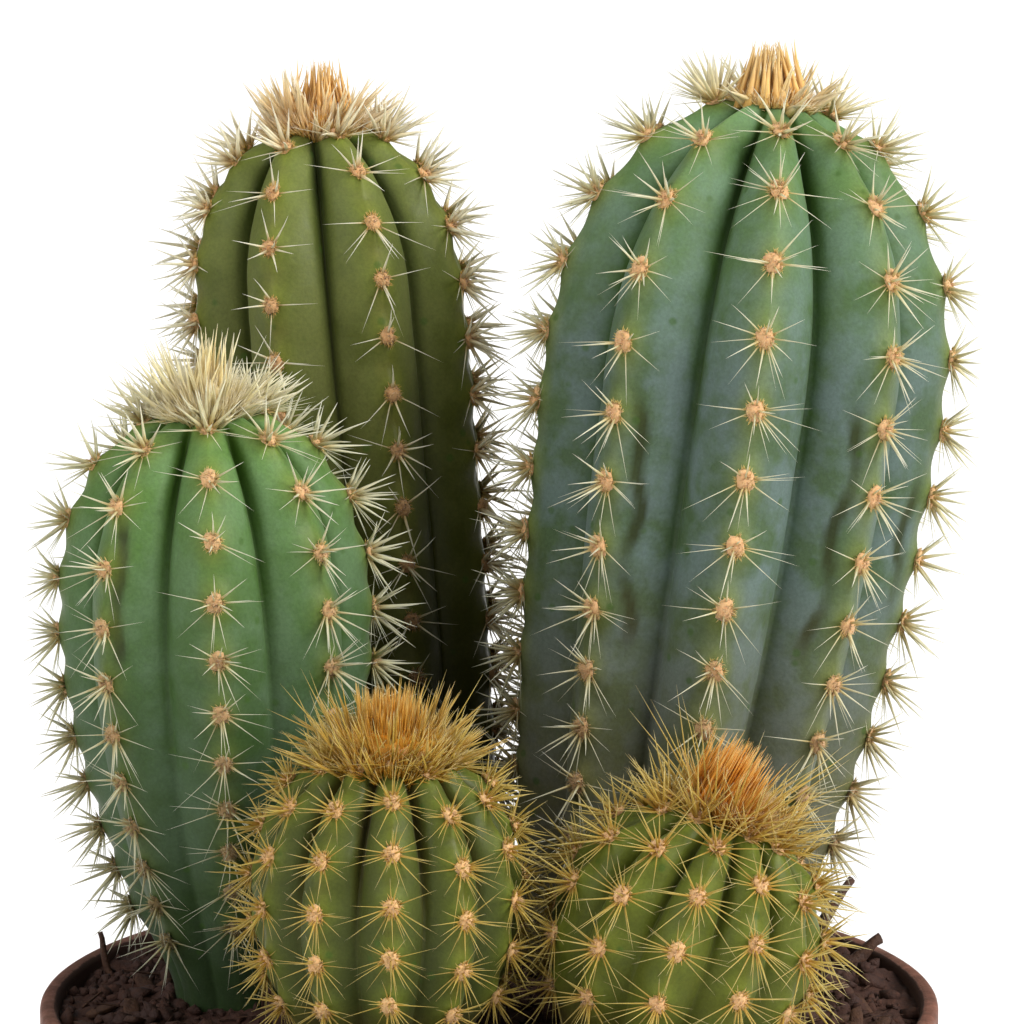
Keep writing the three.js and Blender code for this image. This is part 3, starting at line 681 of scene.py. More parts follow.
def spine_material(stem, look):
    """Dry horny spines. Straw with a warm root and a pale, slightly see-through point, each a little
    different, and orange to brown where they are young: the eye reads thin, sharp and brittle."""
    material, add, place = new_material(f"horny spine {stem.key}")
    rooted = add("MapRange", {"Value": "along", "From Min": 0.05, "From Max": 0.38, "To Min": 1, "To Max": 0})
    paling = add("MapRange", {"Value": "along", "From Min": 0.3})
    young, newest = (add("MapRange", {"Value": "along", "To Min": 1, "To Max": end}) for end in (0.4, 0.75))
    horn = look.spine
    for cover, most, tint in (
        # The cork tint darkens the spines low on the stem: painted shade on some stems.
        (rooted, 0.8, look.felt_rim), (paling, 0.7, look.point), ("cork", 0.45, look.cork),
        ("young", young, look.young), ("core", newest, look.core),
    ):
        cover = add("Math", {0: cover, 1: most}, operation="MULTIPLY")
        horn = add("Mix", {FACTOR: cover, A: horn, B: tint}, data_type="RGBA")
    streaks = add("TexNoise", {"Vector": place, "Scale": per_mm(1.2), "Detail": 2})
    tone = add("Math", {0: "tone", 1: streaks}, operation="ADD")
    tone = add("MapRange", {"Value": tone, "From Min": 0.3, "From Max": 1.6, "To Min": 0.72, "To Max": 1.12})
    horn = add("Mix", {FACTOR: 1, A: horn, B: tone}, data_type="RGBA", blend_type="MULTIPLY")
    return set_surface(
        material, Base_Color=horn, IOR=1.5, Specular_IOR_Level=0.25, Roughness=0.45,
        Subsurface_Weight=0.4, Subsurface_Scale=1 * MM, Subsurface_Radius=(1.0, 0.85, 0.6),
    )


def felt_material(stem, look):
    """Areole felt. Short matted wool, peach with a yellower rim: a soft, matt dot against the waxy skin."""
    material, add, place = new_material(f"areole felt {stem.key}")
    matting = add("TexNoise", {"Vector": place, "Scale": per_mm(0.5), "Detail": 3, "Roughness": 0.7})
    patches = add("MapRange", {"Value": matting, "From Min": 0.35, "From Max": 0.65})
    wool = look.felt
    for cover, most, tint in (
        (patches, 1, linear("#dcb488")), ("tone", 0.4, linear("#c4946c")), ("rim", 1, look.felt_rim),
        # The cork tint darkens the felt low on the stem: painted shade on some stems.
        ("cork", 0.9, look.cork),
    ):
        cover = add("Math", {0: cover, 1: most}, operation="MULTIPLY")
        wool = add("Mix", {FACTOR: cover, A: wool, B: tint}, data_type="RGBA")
    return set_surface(
        material, Base_Color=wool, Roughness=0.9, Specular_IOR_Level=0.2,
        Sheen_Weight=0.25, Sheen_Roughness=0.4,
        Normal=add("Bump", {"Height": matting, "Strength": 0.8, "Distance": 0.15 * MM}),
        Subsurface_Weight=0.25, Subsurface_Scale=0.6 * MM, Subsurface_Radius=(1.0, 0.7, 0.4),
    )


def peat_material(name, dark, pale, grain):
    """Potting peat. Damp dark brown with drier, redder crumbs: matt and crumbly, with a few moist glints."""
    material, add, place = new_material(name)
    drying = add("TexNoise", {"Vector": place, "Scale": per_mm(9), "Detail": 5, "Roughness": 0.65})
    grains = add("TexNoise", {"Vector": place, "Scale": per_mm(grain), "Detail": 4, "Roughness": 0.7})
    mixed = add("Math", {0: drying, 1: grains}, operation="MULTIPLY")
    dry = add("MapRange", {"Value": mixed, "From Min": 0.16, "From Max": 0.38})
    return set_surface(
        material, IOR=1.4,
        Base_Color=add("Mix", {FACTOR: dry, A: dark, B: pale}, data_type="RGBA"),
        Roughness=add("MapRange", {"Value": dry, "To Min": 0.62, "To Max": 0.95}),
        Normal=add("Bump", {"Height": grains, "Strength": 0.9, "Distance": 0.5 * MM}),
    )


def plastic_material(look):
    """Moulded polypropylene. Brownish terracotta with a fine mould grain, paler where it is scuffed and
    dark where soil sticks: a cheap grower's pot that has been watered and carried about."""
    material, add, place = new_material("moulded polypropylene")
    wear = add("TexNoise", {"Vector": place, "Scale": per_mm(14), "Detail": 6, "Roughness": 0.7})
    scuffed = add("MapRange", {"Value": wear, "From Min": 0.48, "From Max": 0.78, "To Max": 0.6})
    smears = add("TexNoise", {"Vector": place, "Scale": per_mm(4), "Detail": 6, "Roughness": 0.75})
    soiled = add("Math", {0: "soiled", 1: smears}, operation="MULTIPLY")
    soiled = add("MapRange", {"Value": soiled, "From Min": 0.12, "From Max": 0.42, "To Max": 0.95})
    plastic = look.plastic
    for cover, tint in ((scuffed, look.scuffed), (soiled, look.soiled)):
        plastic = add("Mix", {FACTOR: cover, A: plastic, B: tint}, data_type="RGBA")
    grain = add("TexNoise", {"Vector": place, "Scale": per_mm(0.4), "Detail": 2})
    bump = add("Bump", {"Height": grain, "Strength": 0.5, "Distance": 0.05 * MM})
    bump = add("Bump", {"Height": soiled, "Strength": 0.7, "Distance": 0.4 * MM, "Normal": bump})
    return set_surface(
        material, Base_Color=plastic, Normal=bump, IOR=1.49, Subsurface_Weight=0.05, Subsurface_Scale=1 * MM,
        Roughness=add("MapRange", {"Value": soiled, "To Min": 0.44, "To Max": 0.92}),
    )


def floor_material(look):
    """Pale studio paper: matt and nearly even, so that nothing draws the eye from the plant."""
    material, add, place = new_material("studio paper")
    pulp = add("TexNoise", {"Vector": place, "Scale": per_mm(60), "Detail": 3})
    shade = add("MapRange", {"Value": pulp, "To Min": 0.98, "To Max": 1.02})
    paper = add("Mix", {FACTOR: 1, A: look.floor, B: shade}, data_type="RGBA", blend_type="MULTIPLY")
    return set_surface(material, Base_Color=paper, Roughness=0.85)


# ---------- flesh ----------

COLUMNS_PER_RIB = 30
ROW_HEIGHT = 0.6  # of skin between two rows of the mesh
ROW_CROWDING = 0.9  # rows crowd towards the tip, where the round top turns fast
SAME_POINT = 0.004
UNEVENNESS = ((0.3, 11), (0.08, 2.5))  # height and width of the swellings that the skin has all over

AREOLE_SWELLING = 0.5
AREOLE_REACH = 2.6  # how far along the crest it swells
CREST_HOLLOW = 0.35
CREST_WIDTH = 2.4
CREASE_DEPTH = 0.25
CREASE_WIDTH = 0.75
CREASE_END = 4.0  # length over which a crease fades out
CREASE_WANDER = (0.5, 8.0)  # how much it wanders, against its place, and over what length
CREASE_DRIFT = (0.012, 60.0)  # how much further out it runs per millimetre down, and from what distance
TOP_GROOVE = 0.7  # how much deeper the young grooves are cut just below the tuft
TOP_GROOVE_AT = (14.0, 9.0)  # the distance from the tip, and the reach up and down
TOP_GROOVE_PART = (0.7, 0.3)  # how far off the crest it starts, and over how much it gets deep
CAP_FADE = 4.0  # the skin is plain this near to the cap
GLOW_REACH = (2.9, 2.0)  # of the yellow skin round an areole, along and across the crest
GREEN_TOP = (50.0, -40.0)  # the distance from the tip where the fresh green starts, and over how much
YOUNG_TOP = 14.0  # the distance over which the widest dark grooves get narrower


def cork_and_shade_share(stem, u, cork_height):
    """How old and corky the stem is at a height: 1 at the foot, 0 above the corky part."""
    return np.clip(1 - u * stem.length / cork_height, 0, 1)


def skin_values(stem, u, angle, cork_height):
    """What the skin does at each point: the swelling, and the values that its material reads."""
    rib, offset = stem.rib_place(angle)
    off_crest = np.abs(offset)
    flank = np.sign(offset)
    distance = np.interp(-u, -stem.heights, stem.distances)
    nearest = np.empty(u.shape)
    for number, row in enumerate(stem.areoles):
        here = rib == number
        gaps = distance[here, None] - np.array(row)
        nearest[here] = gaps[np.arange(len(gaps)), np.abs(gaps).argmin(1)]
    radius = stem.crest_radius(u)
    half_rib = stem.rib_angle / 2 * np.maximum(radius, 1)
    aside = off_crest * half_rib
    at_areole = bell(nearest, AREOLE_REACH)
    on_crest = bell(aside, CREST_WIDTH)

    strength, stretch = CREASE_WANDER
    wander = np.array([
        noise.noise(Vector((stem.seed + 3 * r + s, d / stretch, 0))) for r, s, d in zip(rib, flank, distance)
    ])
    drift, level = CREASE_DRIFT
    edge = stem.crease * half_rib * (1 + strength * wander + drift * (distance - level))
    # Behind, every flank is creased here and there; in front, only those that the photograph shows.
    creased = np.where(np.cos(angle) < 0, np.clip(4 * wander, 0, 1), 0)
    for number, side, start, end in stem.creases:
        ends = ramp(distance, start, CREASE_END) * ramp(distance, end, -CREASE_END)
        creased = np.where((rib == number) & (flank == side), ends * np.clip(1 + 1.2 * wander, 0, 1), creased)
    crease = creased * np.clip(1.6 * bell(aside - edge, CREASE_WIDTH), 0, 1)

    middle, reach = TOP_GROOVE_AT
    swell = AREOLE_SWELLING * at_areole * on_crest - CREST_HOLLOW * (1 - at_areole) * on_crest
    swell -= CREASE_DEPTH * crease
    swell -= TOP_GROOVE * bell(distance - middle, reach) * ramp(off_crest, *TOP_GROOVE_PART)
    swell *= ramp(radius, CAP_RADIUS, CAP_FADE)

    # The painted shade of a groove is widest near the tip and fades out in the old lower part.
    high = np.clip(1.8 * u - 0.7, 0, 1)
    top = np.exp(-distance / YOUNG_TOP)
    dark = np.clip((off_crest - 0.84 + 0.1 * high + 0.16 * top) / 0.16, 0, 1) ** 1.5
    along, across = GLOW_REACH
    return swell, {
        "off_crest": off_crest,
        "crown": ramp(distance, *GREEN_TOP),
        "groove": dark * (0.1 + 0.9 * high),
        "crease": crease,
        "glow": bell(nearest, along) * bell(aside, across),
        "cork": cork_and_shade_share(stem, u, cork_height),
    }


def make_flesh(stem, look):
    """The ribbed body of a stem, from its tip down to its buried root."""
    columns, rows = stem.ribs * COLUMNS_PER_RIB, round(stem.length / ROW_HEIGHT)
    bm = bmesh.new()
    bmesh.ops.create_grid(bm, x_segments=columns, y_segments=rows, size=0.5)
    around, climb = np.array([vert.co for vert in bm.verts])[:, :2].T + 0.5
    angle = around * TURN
    lowest = -stem.buried / stem.length
    u = lowest + (1 - lowest) * np.sin(climb * math.pi / 2) ** ROW_CROWDING
    swell, _ = skin_values(stem, u, angle, look.cork_height / MM)
    points, normals = stem.surface(np.maximum(u, 0), angle, swell)
    deep = np.clip(-u * stem.length / stem.buried, 0, 1)
    centre = stem.axis_point(np.maximum(u, 0))
    points = stem.axis_point(u) + (points - centre) * np.interp(deep, *zip(*ROOT_SHAPE))[:, None]
    for vert, point, normal in zip(bm.verts, points, normals):
        place = Vector(point)
        vert.co = place
        for height, width in UNEVENNESS:
            vert.co += Vector(normal) * height * noise.noise(place / width)
    bmesh.ops.remove_doubles(bm, verts=bm.verts, dist=SAME_POINT)
    bmesh.ops.holes_fill(bm, edges=[edge for edge in bm.edges if edge.is_boundary], sides=0)
    bmesh.ops.recalc_face_normals(bm, faces=bm.faces)
    u, angle = locate(stem, bm)
    _, values = skin_values(stem, u, angle, look.cork_height / MM)
    key = f"flesh_{stem.key}"
    finish_piece(bm, key, skin_material(stem, look), f"stem_{stem.key}", values)


def locate(stem, bm):
    """The height u and the angle on a stem of each vertex of a bmesh that is still in millimetres."""
    points = np.array([vert.co for vert in bm.verts])
    u = np.clip((points - stem.foot) @ stem.along / stem.length, -stem.buried / stem.length, 1)
    out = points - stem.axis_point(u)
    return u, np.arctan2(out @ stem.side, out @ stem.front)


def finish_on_stem(stem, look, needles, name, material):
    """Finishes needles that grow out of a stem's flesh, corky where the flesh is."""
    cork = cork_and_shade_share(stem, locate(stem, needles.bm)[0], look.cork_height / MM)
    finish_piece(
        needles.bm, f"{name}_{stem.key}", material, f"stem_{stem.key}",
        {**needles.values(), "cork": cork},
    )


# ---------- areoles and spines ----------

# Where the spines of an areole point: heading in degrees from the right, against the clock seen from
# outside, lean away from the outward direction, and length against the full one. The first are the surest.
SIDE_SPINES = (
    (-12, 74, 1.0), (192, 74, 1.0), (-36, 78, 1.0), (216, 78, 1.0), (174, 82, 0.95), (-62, 80, 0.95),
    (244, 80, 0.95), (270, 70, 0.9), (6, 82, 0.9), (286, 76, 0.9), (154, 76, 0.75), (26, 76, 0.75),
    (206, 84, 0.9), (-24, 84, 0.9), (75, 76, 0.6), (110, 74, 0.6),
)
MIDDLE_SPINES = (
    (268, 54, 0.95), (250, 24, 0.9), (95, 22, 0.85), (205, 46, 0.95), (-25, 46, 0.95), (85, 42, 0.75),
    (300, 40, 0.9), (180, 22, 0.9), (0, 24, 0.9), (140, 50, 0.8), (40, 50, 0.8), (270, 36, 0.8),
)
HEADING_SPREAD = 9.0  # degrees that a spine strays from its heading and its lean
LEAN_SPREAD = 7.0
ROOT_RING = 0.22  # how far from the middle of the areole a spine roots, against the areole's width
ROOT_DEPTH = 0.2
YOUNG_BELT = 15.0  # distance from the tip within which spines are young
CUT_BACK = (1, 0.85, 0.7, 0.55, 0.4, 0.25)  # the lengths at which a spine is tried
POINT_ROOM = 0.4
BOX_ROOM = 0.1
SOIL_ROOM = 0.3
STEM_ROOM = 0.5

WOOL_HAIRS = 90
HAIR_LENGTH = (0.4, 0.85)
HAIR_RADIUS = 0.1
CUSHION = (0.8, 0.6)  # the cushion's width against the areole's, and its height


def areole_frames(stem):
    """Place, outward, right and up directions of every areole, and its distance from the tip."""
    for number, row in enumerate(stem.areoles):
        angle = math.radians(stem.rib_turn) + number * stem.rib_angle
        for distance in row:
            u = float(stem.height_at(distance))
            heights = np.array((u, max(u - 0.01, 0), min(u + 0.01, 1)))
            points, normals = stem.surface(heights, np.full(3, angle), np.full(3, AREOLE_SWELLING))
            up = unit(points[2] - points[1])
            out = unit(normals[0] - up * normals[0].dot(up))
            yield points[0], out, np.cross(up, out), up, distance


def fits(point, owner):
    """Whether a point is free of the other stems and the soil, and inside the model's box."""
    low, high = CAD_BOX
    room = BOX_ROOM * MM
    inside = all(low[i] + room <= point[i] * MM <= high[i] - room for i in range(3))
    above = point[2] > soil_height(point[0], point[1]) + SOIL_ROOM
    return inside and above and all(stem is owner or stem.clearance(point) > STEM_ROOM for stem in STEMS)


def add_spine(needles, stem, root, direction, reach, radius, rng, young=0.0, core=0.0):
    """Adds a spine, cut back where its point would meet something."""
    direction = unit(direction)
    for part in CUT_BACK:
        if fits(root + direction * (reach * part + POINT_ROOM), stem):
            needles.add(root, direction, reach * part, radius, rng, young=young, core=core)
            return


def make_spines(stem, look):
    """The grown spines: flat ones round each areole, and stouter ones that stand out from it."""
    rng = random.Random(stem.seed)
    needles = Needles()
    side, middle = look.spine_thick / MM / 2, look.central_thick / MM / 2
    for place, out, right, up, distance in areole_frames(stem):
        young = max(0, 1 - distance / YOUNG_BELT)
        facing = max(0, out.dot(stem.front))
        kept = 1 - look.rubbed * facing
        spines = [(*spine, side) for spine in SIDE_SPINES[: look.spine_count]]
        # Middle spines are stoutest where they stand out sideways, and as stout as spikes near the tuft.
        stout = middle * (0.8 + 0.9 * (1 - facing))
        stout += (0.35 * look.spike_width / MM - stout) * young
        spines += [(*spine, stout) for spine in MIDDLE_SPINES[: look.central_count]]
        for heading, lean, part, radius in spines:
            if rng.random() > kept:
                continue
            heading = math.radians(heading + rng.gauss(0, HEADING_SPREAD))
            lean = math.radians(lean * (1 - 0.3 * young) + rng.gauss(0, LEAN_SPREAD))
            flat = right * math.cos(heading) + up * math.sin(heading)
            direction = out * math.cos(lean) + flat * math.sin(lean)
            full = rng.uniform(look.spine_short, look.spine_long) / MM
            reach = full * part * rng.uniform(0.75, 1) * (1 + 0.2 * young)
            root = place + flat * look.pad_width / MM * ROOT_RING * math.sin(lean) - out * ROOT_DEPTH
            add_spine(needles, stem, root, direction, reach, radius * rng.uniform(0.8, 1.1), rng, 0.5 * young)
    finish_on_stem(stem, look, needles, "spines", spine_material(stem, look))


def make_areoles(stem, look):
    """The felt pads: a low cushion under short wool, peach in its middle and golden at its rim."""
    rng = random.Random(stem.seed + 1)
    pads = [lump_shape(f"pad_{seed}", seed, 2, 0.4) for seed in range(4)]
    wool = Needles(sides=3, cuts=1, taper=0.6)
    wide, high = look.pad_width / MM / 2, look.pad_height / MM / 2
    part_wide, thick = CUSHION
    for place, out, right, up, _ in areole_frames(stem):
        cushion = axes_matrix(place, right * wide * part_wide, up * high * part_wide, out * thick)
        wool.place(rng.choice(pads), cushion, along=0, tone=rng.random(), rim=0.2)
        for _ in range(WOOL_HAIRS):
            part = math.sqrt(rng.random())
            turn = rng.uniform(0, TURN)
            flat = (right * math.cos(turn) * wide + up * math.sin(turn) * high) * part
            root = place + flat * part_wide + out * (thick - 0.7 * part)
            slant = right * rng.gauss(0, 0.35) + up * rng.gauss(0, 0.35)
            direction = out * (1.1 - 0.75 * part) + flat * 0.9 + slant
            wool.add(root, direction, rng.uniform(*HAIR_LENGTH), HAIR_RADIUS, rng, rim=part)
    finish_on_stem(stem, look, wool, "areoles", felt_material(stem, look))


# ---------- crown tufts ----------

FRONT_GLOW = 0.4  # how far in front of the tip the newest growth glows, against the cushion's radius
MAT_WIDTH = 0.8  # the mat under the wool, against the cushion's radius and the hairs' length
MAT_HEIGHT = 0.62
MAT_DEPTH = 0.2  # how far it sinks into the cap, against its height
WOOL_LEAN = (56.0, 11.0)  # degrees that the outermost hairs lean out, and how much they stray
HAIR_THICKNESS = (0.1, 0.16)
SPIKE_START = 0.45  # how far out the innermost spikes stand, against the cushion's radius
SPIKE_STEP = 0.618  # turns from one spike to the next, which keeps them from lining up
SPIKE_LEAN = (14.0, 56.0, 6.0)  # degrees of the innermost, how much more at the edge, and the straying
SPIKE_LOOSENESS = 0.05
STRAY_RADIUS = 0.19
CORE_DEPTH = 0.4


def crown_root(stem, distance, angle):
    """The point of the skin so far from the tip."""
    points, _ = stem.surface(stem.height_at(np.array([distance])), np.array([angle]))
    return points[0]


def newness(front, side):
    """How new the growth is at a place on the cushion: 1 where it glows most, just in front of the tip."""
    return max(0, 1 - 1.1 * math.hypot(front - FRONT_GLOW, side))


def make_crown(stem, look):
    """The tuft on the growing point: a woolly cushion, spikes of young spines round it, a core of the newest
    spines in its middle and a few long single ones."""
    rng = random.Random(stem.seed + 2)
    needles = Needles(sides=6)
    spread = look.wool_spread / MM
    mat = lump_shape("mat", stem.seed, 4, 0.3)
    newest = [newness(vert.co.x, vert.co.y) for vert in mat.vertices]
    high = look.wool_height / MM * MAT_HEIGHT
    cap = stem.axis_point(stem.cap_height())
    bed = axes_matrix(
        cap - stem.along * high * MAT_DEPTH, stem.front * spread * MAT_WIDTH, stem.side * spread * MAT_WIDTH,
        stem.along * high,
    )
    needles.place(mat, bed, along=0.1, tone=0.5, young=1, core=newest)

    def leaning(angle, degrees):
        lean = math.radians(degrees)
        return stem.along * math.cos(lean) + stem.outward(angle) * math.sin(lean)

    most, straying = WOOL_LEAN
    for _ in range(look.wool_count):
        part = math.sqrt(rng.random())
        angle = rng.uniform(0, TURN)
        direction = leaning(angle, most * part + rng.gauss(0, straying))
        reach = look.wool_height / MM * rng.uniform(0.5, 1) * (1 - 0.35 * part)
        root = crown_root(stem, spread * part, angle) - direction * 0.4
        core = newness(part * math.cos(angle), part * math.sin(angle))
        add_spine(needles, stem, root, direction, reach, rng.uniform(*HAIR_THICKNESS), rng, 1, core)
    least, more, straying = SPIKE_LEAN
    for number in range(look.spike_count):
        part = SPIKE_START + (1 - SPIKE_START) * rng.random()
        angle = TURN * (number * SPIKE_STEP + rng.uniform(-0.03, 0.03))
        lean = least + more * (part - SPIKE_START) / (1 - SPIKE_START) + rng.gauss(0, straying)
        direction = leaning(angle, lean)
        reach = (look.spike_height * (1 - part) + look.spike_side * part) / MM * rng.uniform(0.75, 1.05)
        root = crown_root(stem, spread * part, angle) - direction * 0.6
        tip = root + direction * reach
        width = look.spike_width / MM / 2
        young = 1.3 - 1.1 * part
        add_bunch(needles, stem, root, tip, look.spike_bunch, width, SPIKE_LOOSENESS, rng, young, 0.3)
    for _ in range(look.stray_count):
        part = 0.5 + 0.5 * rng.random()
        angle = rng.uniform(0, TURN)
        direction = leaning(angle, 20 + 50 * rng.random())
        reach = look.stray_length / MM * rng.uniform(0.75, 1.05)
        root = crown_root(stem, spread * part, angle)
        add_spine(needles, stem, root, direction, reach, STRAY_RADIUS, rng, 0.4)
    root = cap + stem.side * look.core_shift / MM - stem.along * CORE_DEPTH
    point = stem.along * math.cos(look.core_lean) + stem.side * math.sin(look.core_lean)
    tip = root + point * look.core_height / MM
    add_bunch(needles, stem, root, tip, look.core_count, look.core_spread / MM, look.core_loose, rng, 1, 1)
    finish_piece(
        needles.bm, f"tuft_{stem.key}", spine_material(stem, look), f"crown_{stem.key}",
        needles.values(),
    )


def add_bunch(needles, stem, root, tip, number, width, looseness, rng, young, core):
    """Spines that stand round a root and lean together to a point, the newest in the middle."""
    axis = unit(tip - root)
    aside = unit(np.cross(axis, (0.3, 0.9, 0.1)))
    across = np.cross(axis, aside)
    thick = 0.1 + 0.8 * width / math.sqrt(max(number, 1))
    shortening = min(0.1 + looseness, 0.6)
    for _ in range(number):
        part = math.sqrt(rng.random())
        turn = rng.uniform(0, TURN)
        off = (aside * math.cos(turn) + across * math.sin(turn)) * part
        start = root + off * width
        aim = tip + off * width * looseness - start
        reach = np.linalg.norm(aim) * (1 - shortening * part * rng.random())
        newest = core * (1 - 0.5 * part)
        add_spine(needles, stem, start, aim, reach, thick * rng.uniform(0.8, 1.1), rng, young, newest)


# ---------- pot ----------

POT_STEPS = 192
HOLE_STEPS = 24
FLOOR_RING = 35.0  # the pot's floor inside this radius is filled round the drainage holes
ROUNDING_STEPS = 4
RING_TOLERANCE = 0.005  # a full turn in small steps drifts by thousandths of a millimetre
SEAM = 0.001  # the ends of a full turn are this near to each other
INNER_FACE = 0.3  # how far outside its inner radius the wall still counts as inside
FOOT_DIRT = 0.55  # how much soil sticks to the pot's foot, its lip and the wall between them
LIP_DIRT = 0.55
WALL_DIRT = 0.25
DIRT_FADE = 22.0  # height over which the dirt of the foot would thin out from 1 to 0


def lathe(corners, steps):
    """A bmesh of a profile of (radius, height) corners, turned all round."""
    bm = bmesh.new()
    verts = [bm.verts.new((radius, 0, z)) for radius, z in corners]
    edges = [bm.edges.new(pair) for pair in zip(verts, verts[1:])]
    bmesh.ops.spin(
        bm, geom=verts + edges, cent=(0, 0, 0), axis=(0, 0, 1), dvec=(0, 0, 0), angle=TURN, steps=steps,
        use_merge=True,
    )
    bmesh.ops.remove_doubles(bm, verts=bm.verts, dist=SEAM)
    return bm


def ring_edges(bm, radius, z):
    """The level edges of a turned shape that run round at a radius and a height."""

    def on_ring(place):
        return abs(place.xy.length - radius) < RING_TOLERANCE and abs(place.z - z) < RING_TOLERANCE

    return [edge for edge in bm.edges if all(on_ring(vert.co) for vert in edge.verts)]


def make_pot(look):
    """The pot: wall, step, collar and lip turned from one profile, each corner with its rounding."""
    lip = look.lip_round / MM
    profile = (
        (FLOOR_RING, 0, 0),
        (POT_FOOT, 0, 1.4),
        (pot_inside(STEP_FOOT) + POT_WALL, STEP_FOOT, 1),
        (pot_inside(COLLAR_FOOT) + POT_WALL, COLLAR_FOOT, 0.8),
        (pot_inside(LIP_FOOT) + POT_WALL, LIP_FOOT, 0.4),
        (POT_RIM, LIP_FOOT + 0.3, 0.6),
        (POT_RIM, POT_HEIGHT, lip),
        (POT_RIM - LIP_WIDTH, POT_HEIGHT, lip),
        (pot_inside(COLLAR_FOOT), COLLAR_FOOT, 0.8),
        (pot_inside(STEP_FOOT), STEP_FOOT, 1),
        (pot_inside(POT_FLOOR), POT_FLOOR, 1.2),
        (FLOOR_RING, POT_FLOOR, 0),
    )
    bm = lathe([(radius, z) for radius, z, _ in profile], POT_STEPS)
    for radius, z, rounding in profile[1:-1]:
        bmesh.ops.bevel(
            bm, geom=ring_edges(bm, radius, z), offset=rounding, offset_type="OFFSET", affect="EDGES",
            segments=ROUNDING_STEPS, profile=0.5, material=-1,
        )
    fill_floor(bm)
    bmesh.ops.remove_doubles(bm, verts=bm.verts, dist=SEAM)
    bmesh.ops.recalc_face_normals(bm, faces=bm.faces)
    soiled = [soiling(vert.co) for vert in bm.verts]
    finish_piece(bm, "nursery_pot", plastic_material(look), "pot", {"soiled": soiled})


def soiling(place):
    """How much soil sticks to the pot: all over it inside, and outside most at its foot and on its lip."""
    if place.z > POT_FLOOR / 2 and place.xy.length < pot_inside(max(place.z, POT_FLOOR)) + INNER_FACE:
        return 1.0
    return max(FOOT_DIRT - place.z / DIRT_FADE, LIP_DIRT if place.z > LIP_FOOT else WALL_DIRT)


def fill_floor(bm):
    """Closes the pot's floor, with its drainage holes, between the open rings of the lathed wall."""
    holes = []
    for level in (0.0, POT_FLOOR):
        border = [edge for edge in ring_edges(bm, FLOOR_RING, level) if edge.is_boundary]
        for number in range(DRAIN_HOLES):
            angle = TURN * number / DRAIN_HOLES
            middle = (DRAIN_CIRCLE * math.cos(angle), DRAIN_CIRCLE * math.sin(angle), level)
            circle = bmesh.ops.create_circle(
                bm, segments=HOLE_STEPS, radius=DRAIN_RADIUS, matrix=Matrix.Translation(middle)
            )
            edges = list(dict.fromkeys(edge for vert in circle["verts"] for edge in vert.link_edges))
            holes.append(edges)
            border += edges
        bmesh.ops.triangle_fill(bm, edges=border, use_beauty=True, use_dissolve=False)
    for lower, upper in zip(holes[:DRAIN_HOLES], holes[DRAIN_HOLES:]):
        bmesh.ops.bridge_loops(bm, edges=lower + upper)


# ---------- soil ----------

SOIL_STEPS = 220
SOIL_GRAIN = 0.7  # between two rings of the soil's surface
SOIL_FOOT = POT_FLOOR + 0.3
WALL_GAP = 0.1
# The soil's roughness, coarse and fine: width of its lumps, place in the noise, octaves, height and middle.
ROUGHNESS = ((8, 3.3, 3, 1.5, 0.45), (2.2, 8.1, 2, 0.8, 0.4))
CRUMB_SHAPES = 6
CRUMB_SEED = 5
LITTER_SEED = 6
LITTER_REACH = 0.95  # how far out the litter lies, against the inner radius of the rim
# Twigs and bark bits: place, heading, rise, length and thickness, as in the soil's solid.
TWIGS = (
    ((-52, 17), 150, 72, 6.5, 1.1), ((43, 28), 40, 38, 15, 1.9), ((45.5, 25), 62, 70, 9.5, 1.5),
    ((49, 17), 20, 24, 6.5, 2.4), ((2, -47), 200, 12, 9, 1.6), ((-46, -17), 300, 14, 7, 1.5),
    ((4, 50), 95, 20, 7, 1.6),
)
TWIG_DEPTH = 0.15  # how much of a twig is in the soil
TWIG_TOP = 0.62  # how thick its broken end is, against its foot


def rough_soil(x, y):
    """Height of the soil with its crumbs."""
    height = soil_height(x, y)
    for width, place, octaves, rise, middle in ROUGHNESS:
        height += rise * (noise.turbulence(Vector((x / width, y / width, place)), octaves, False) - middle)
    return height


def make_soil(look):
    """The peat that fills the pot, with what lies on it."""
    wall = pot_inside(POT_HEIGHT - SOIL_EDGE_DROP) - WALL_GAP
    rings = round(wall / SOIL_GRAIN)
    top = [(wall * i / rings, POT_HEIGHT) for i in range(rings + 1)]
    side = [(pot_inside(level) - WALL_GAP, level) for level in (COLLAR_FOOT, STEP_FOOT, SOIL_FOOT)]
    bm = lathe([*top, *side, (0, SOIL_FOOT)], SOIL_STEPS)
    for vert in bm.verts:
        if vert.co.z > COLLAR_FOOT + 1:
            vert.co.z = rough_soil(vert.co.x, vert.co.y)
    bmesh.ops.recalc_face_normals(bm, faces=bm.faces)
    finish_piece(bm, "soil_body", peat_material("potting peat", look.peat, look.dry, 1.1), "soil")
    make_crumbs(look)
    make_litter(look)


def free_spot(rng, reach):
    """A place on the soil that no stem stands on."""
    while True:
        radius = pot_inside(POT_HEIGHT) * reach * math.sqrt(rng.random())
        turn = rng.uniform(0, TURN)
        x, y = radius * math.cos(turn), radius * math.sin(turn)
        point = np.array((x, y, POT_HEIGHT + 3))
        if all(stem.clearance(point) > -1.5 for stem in STEMS):
            return x, y


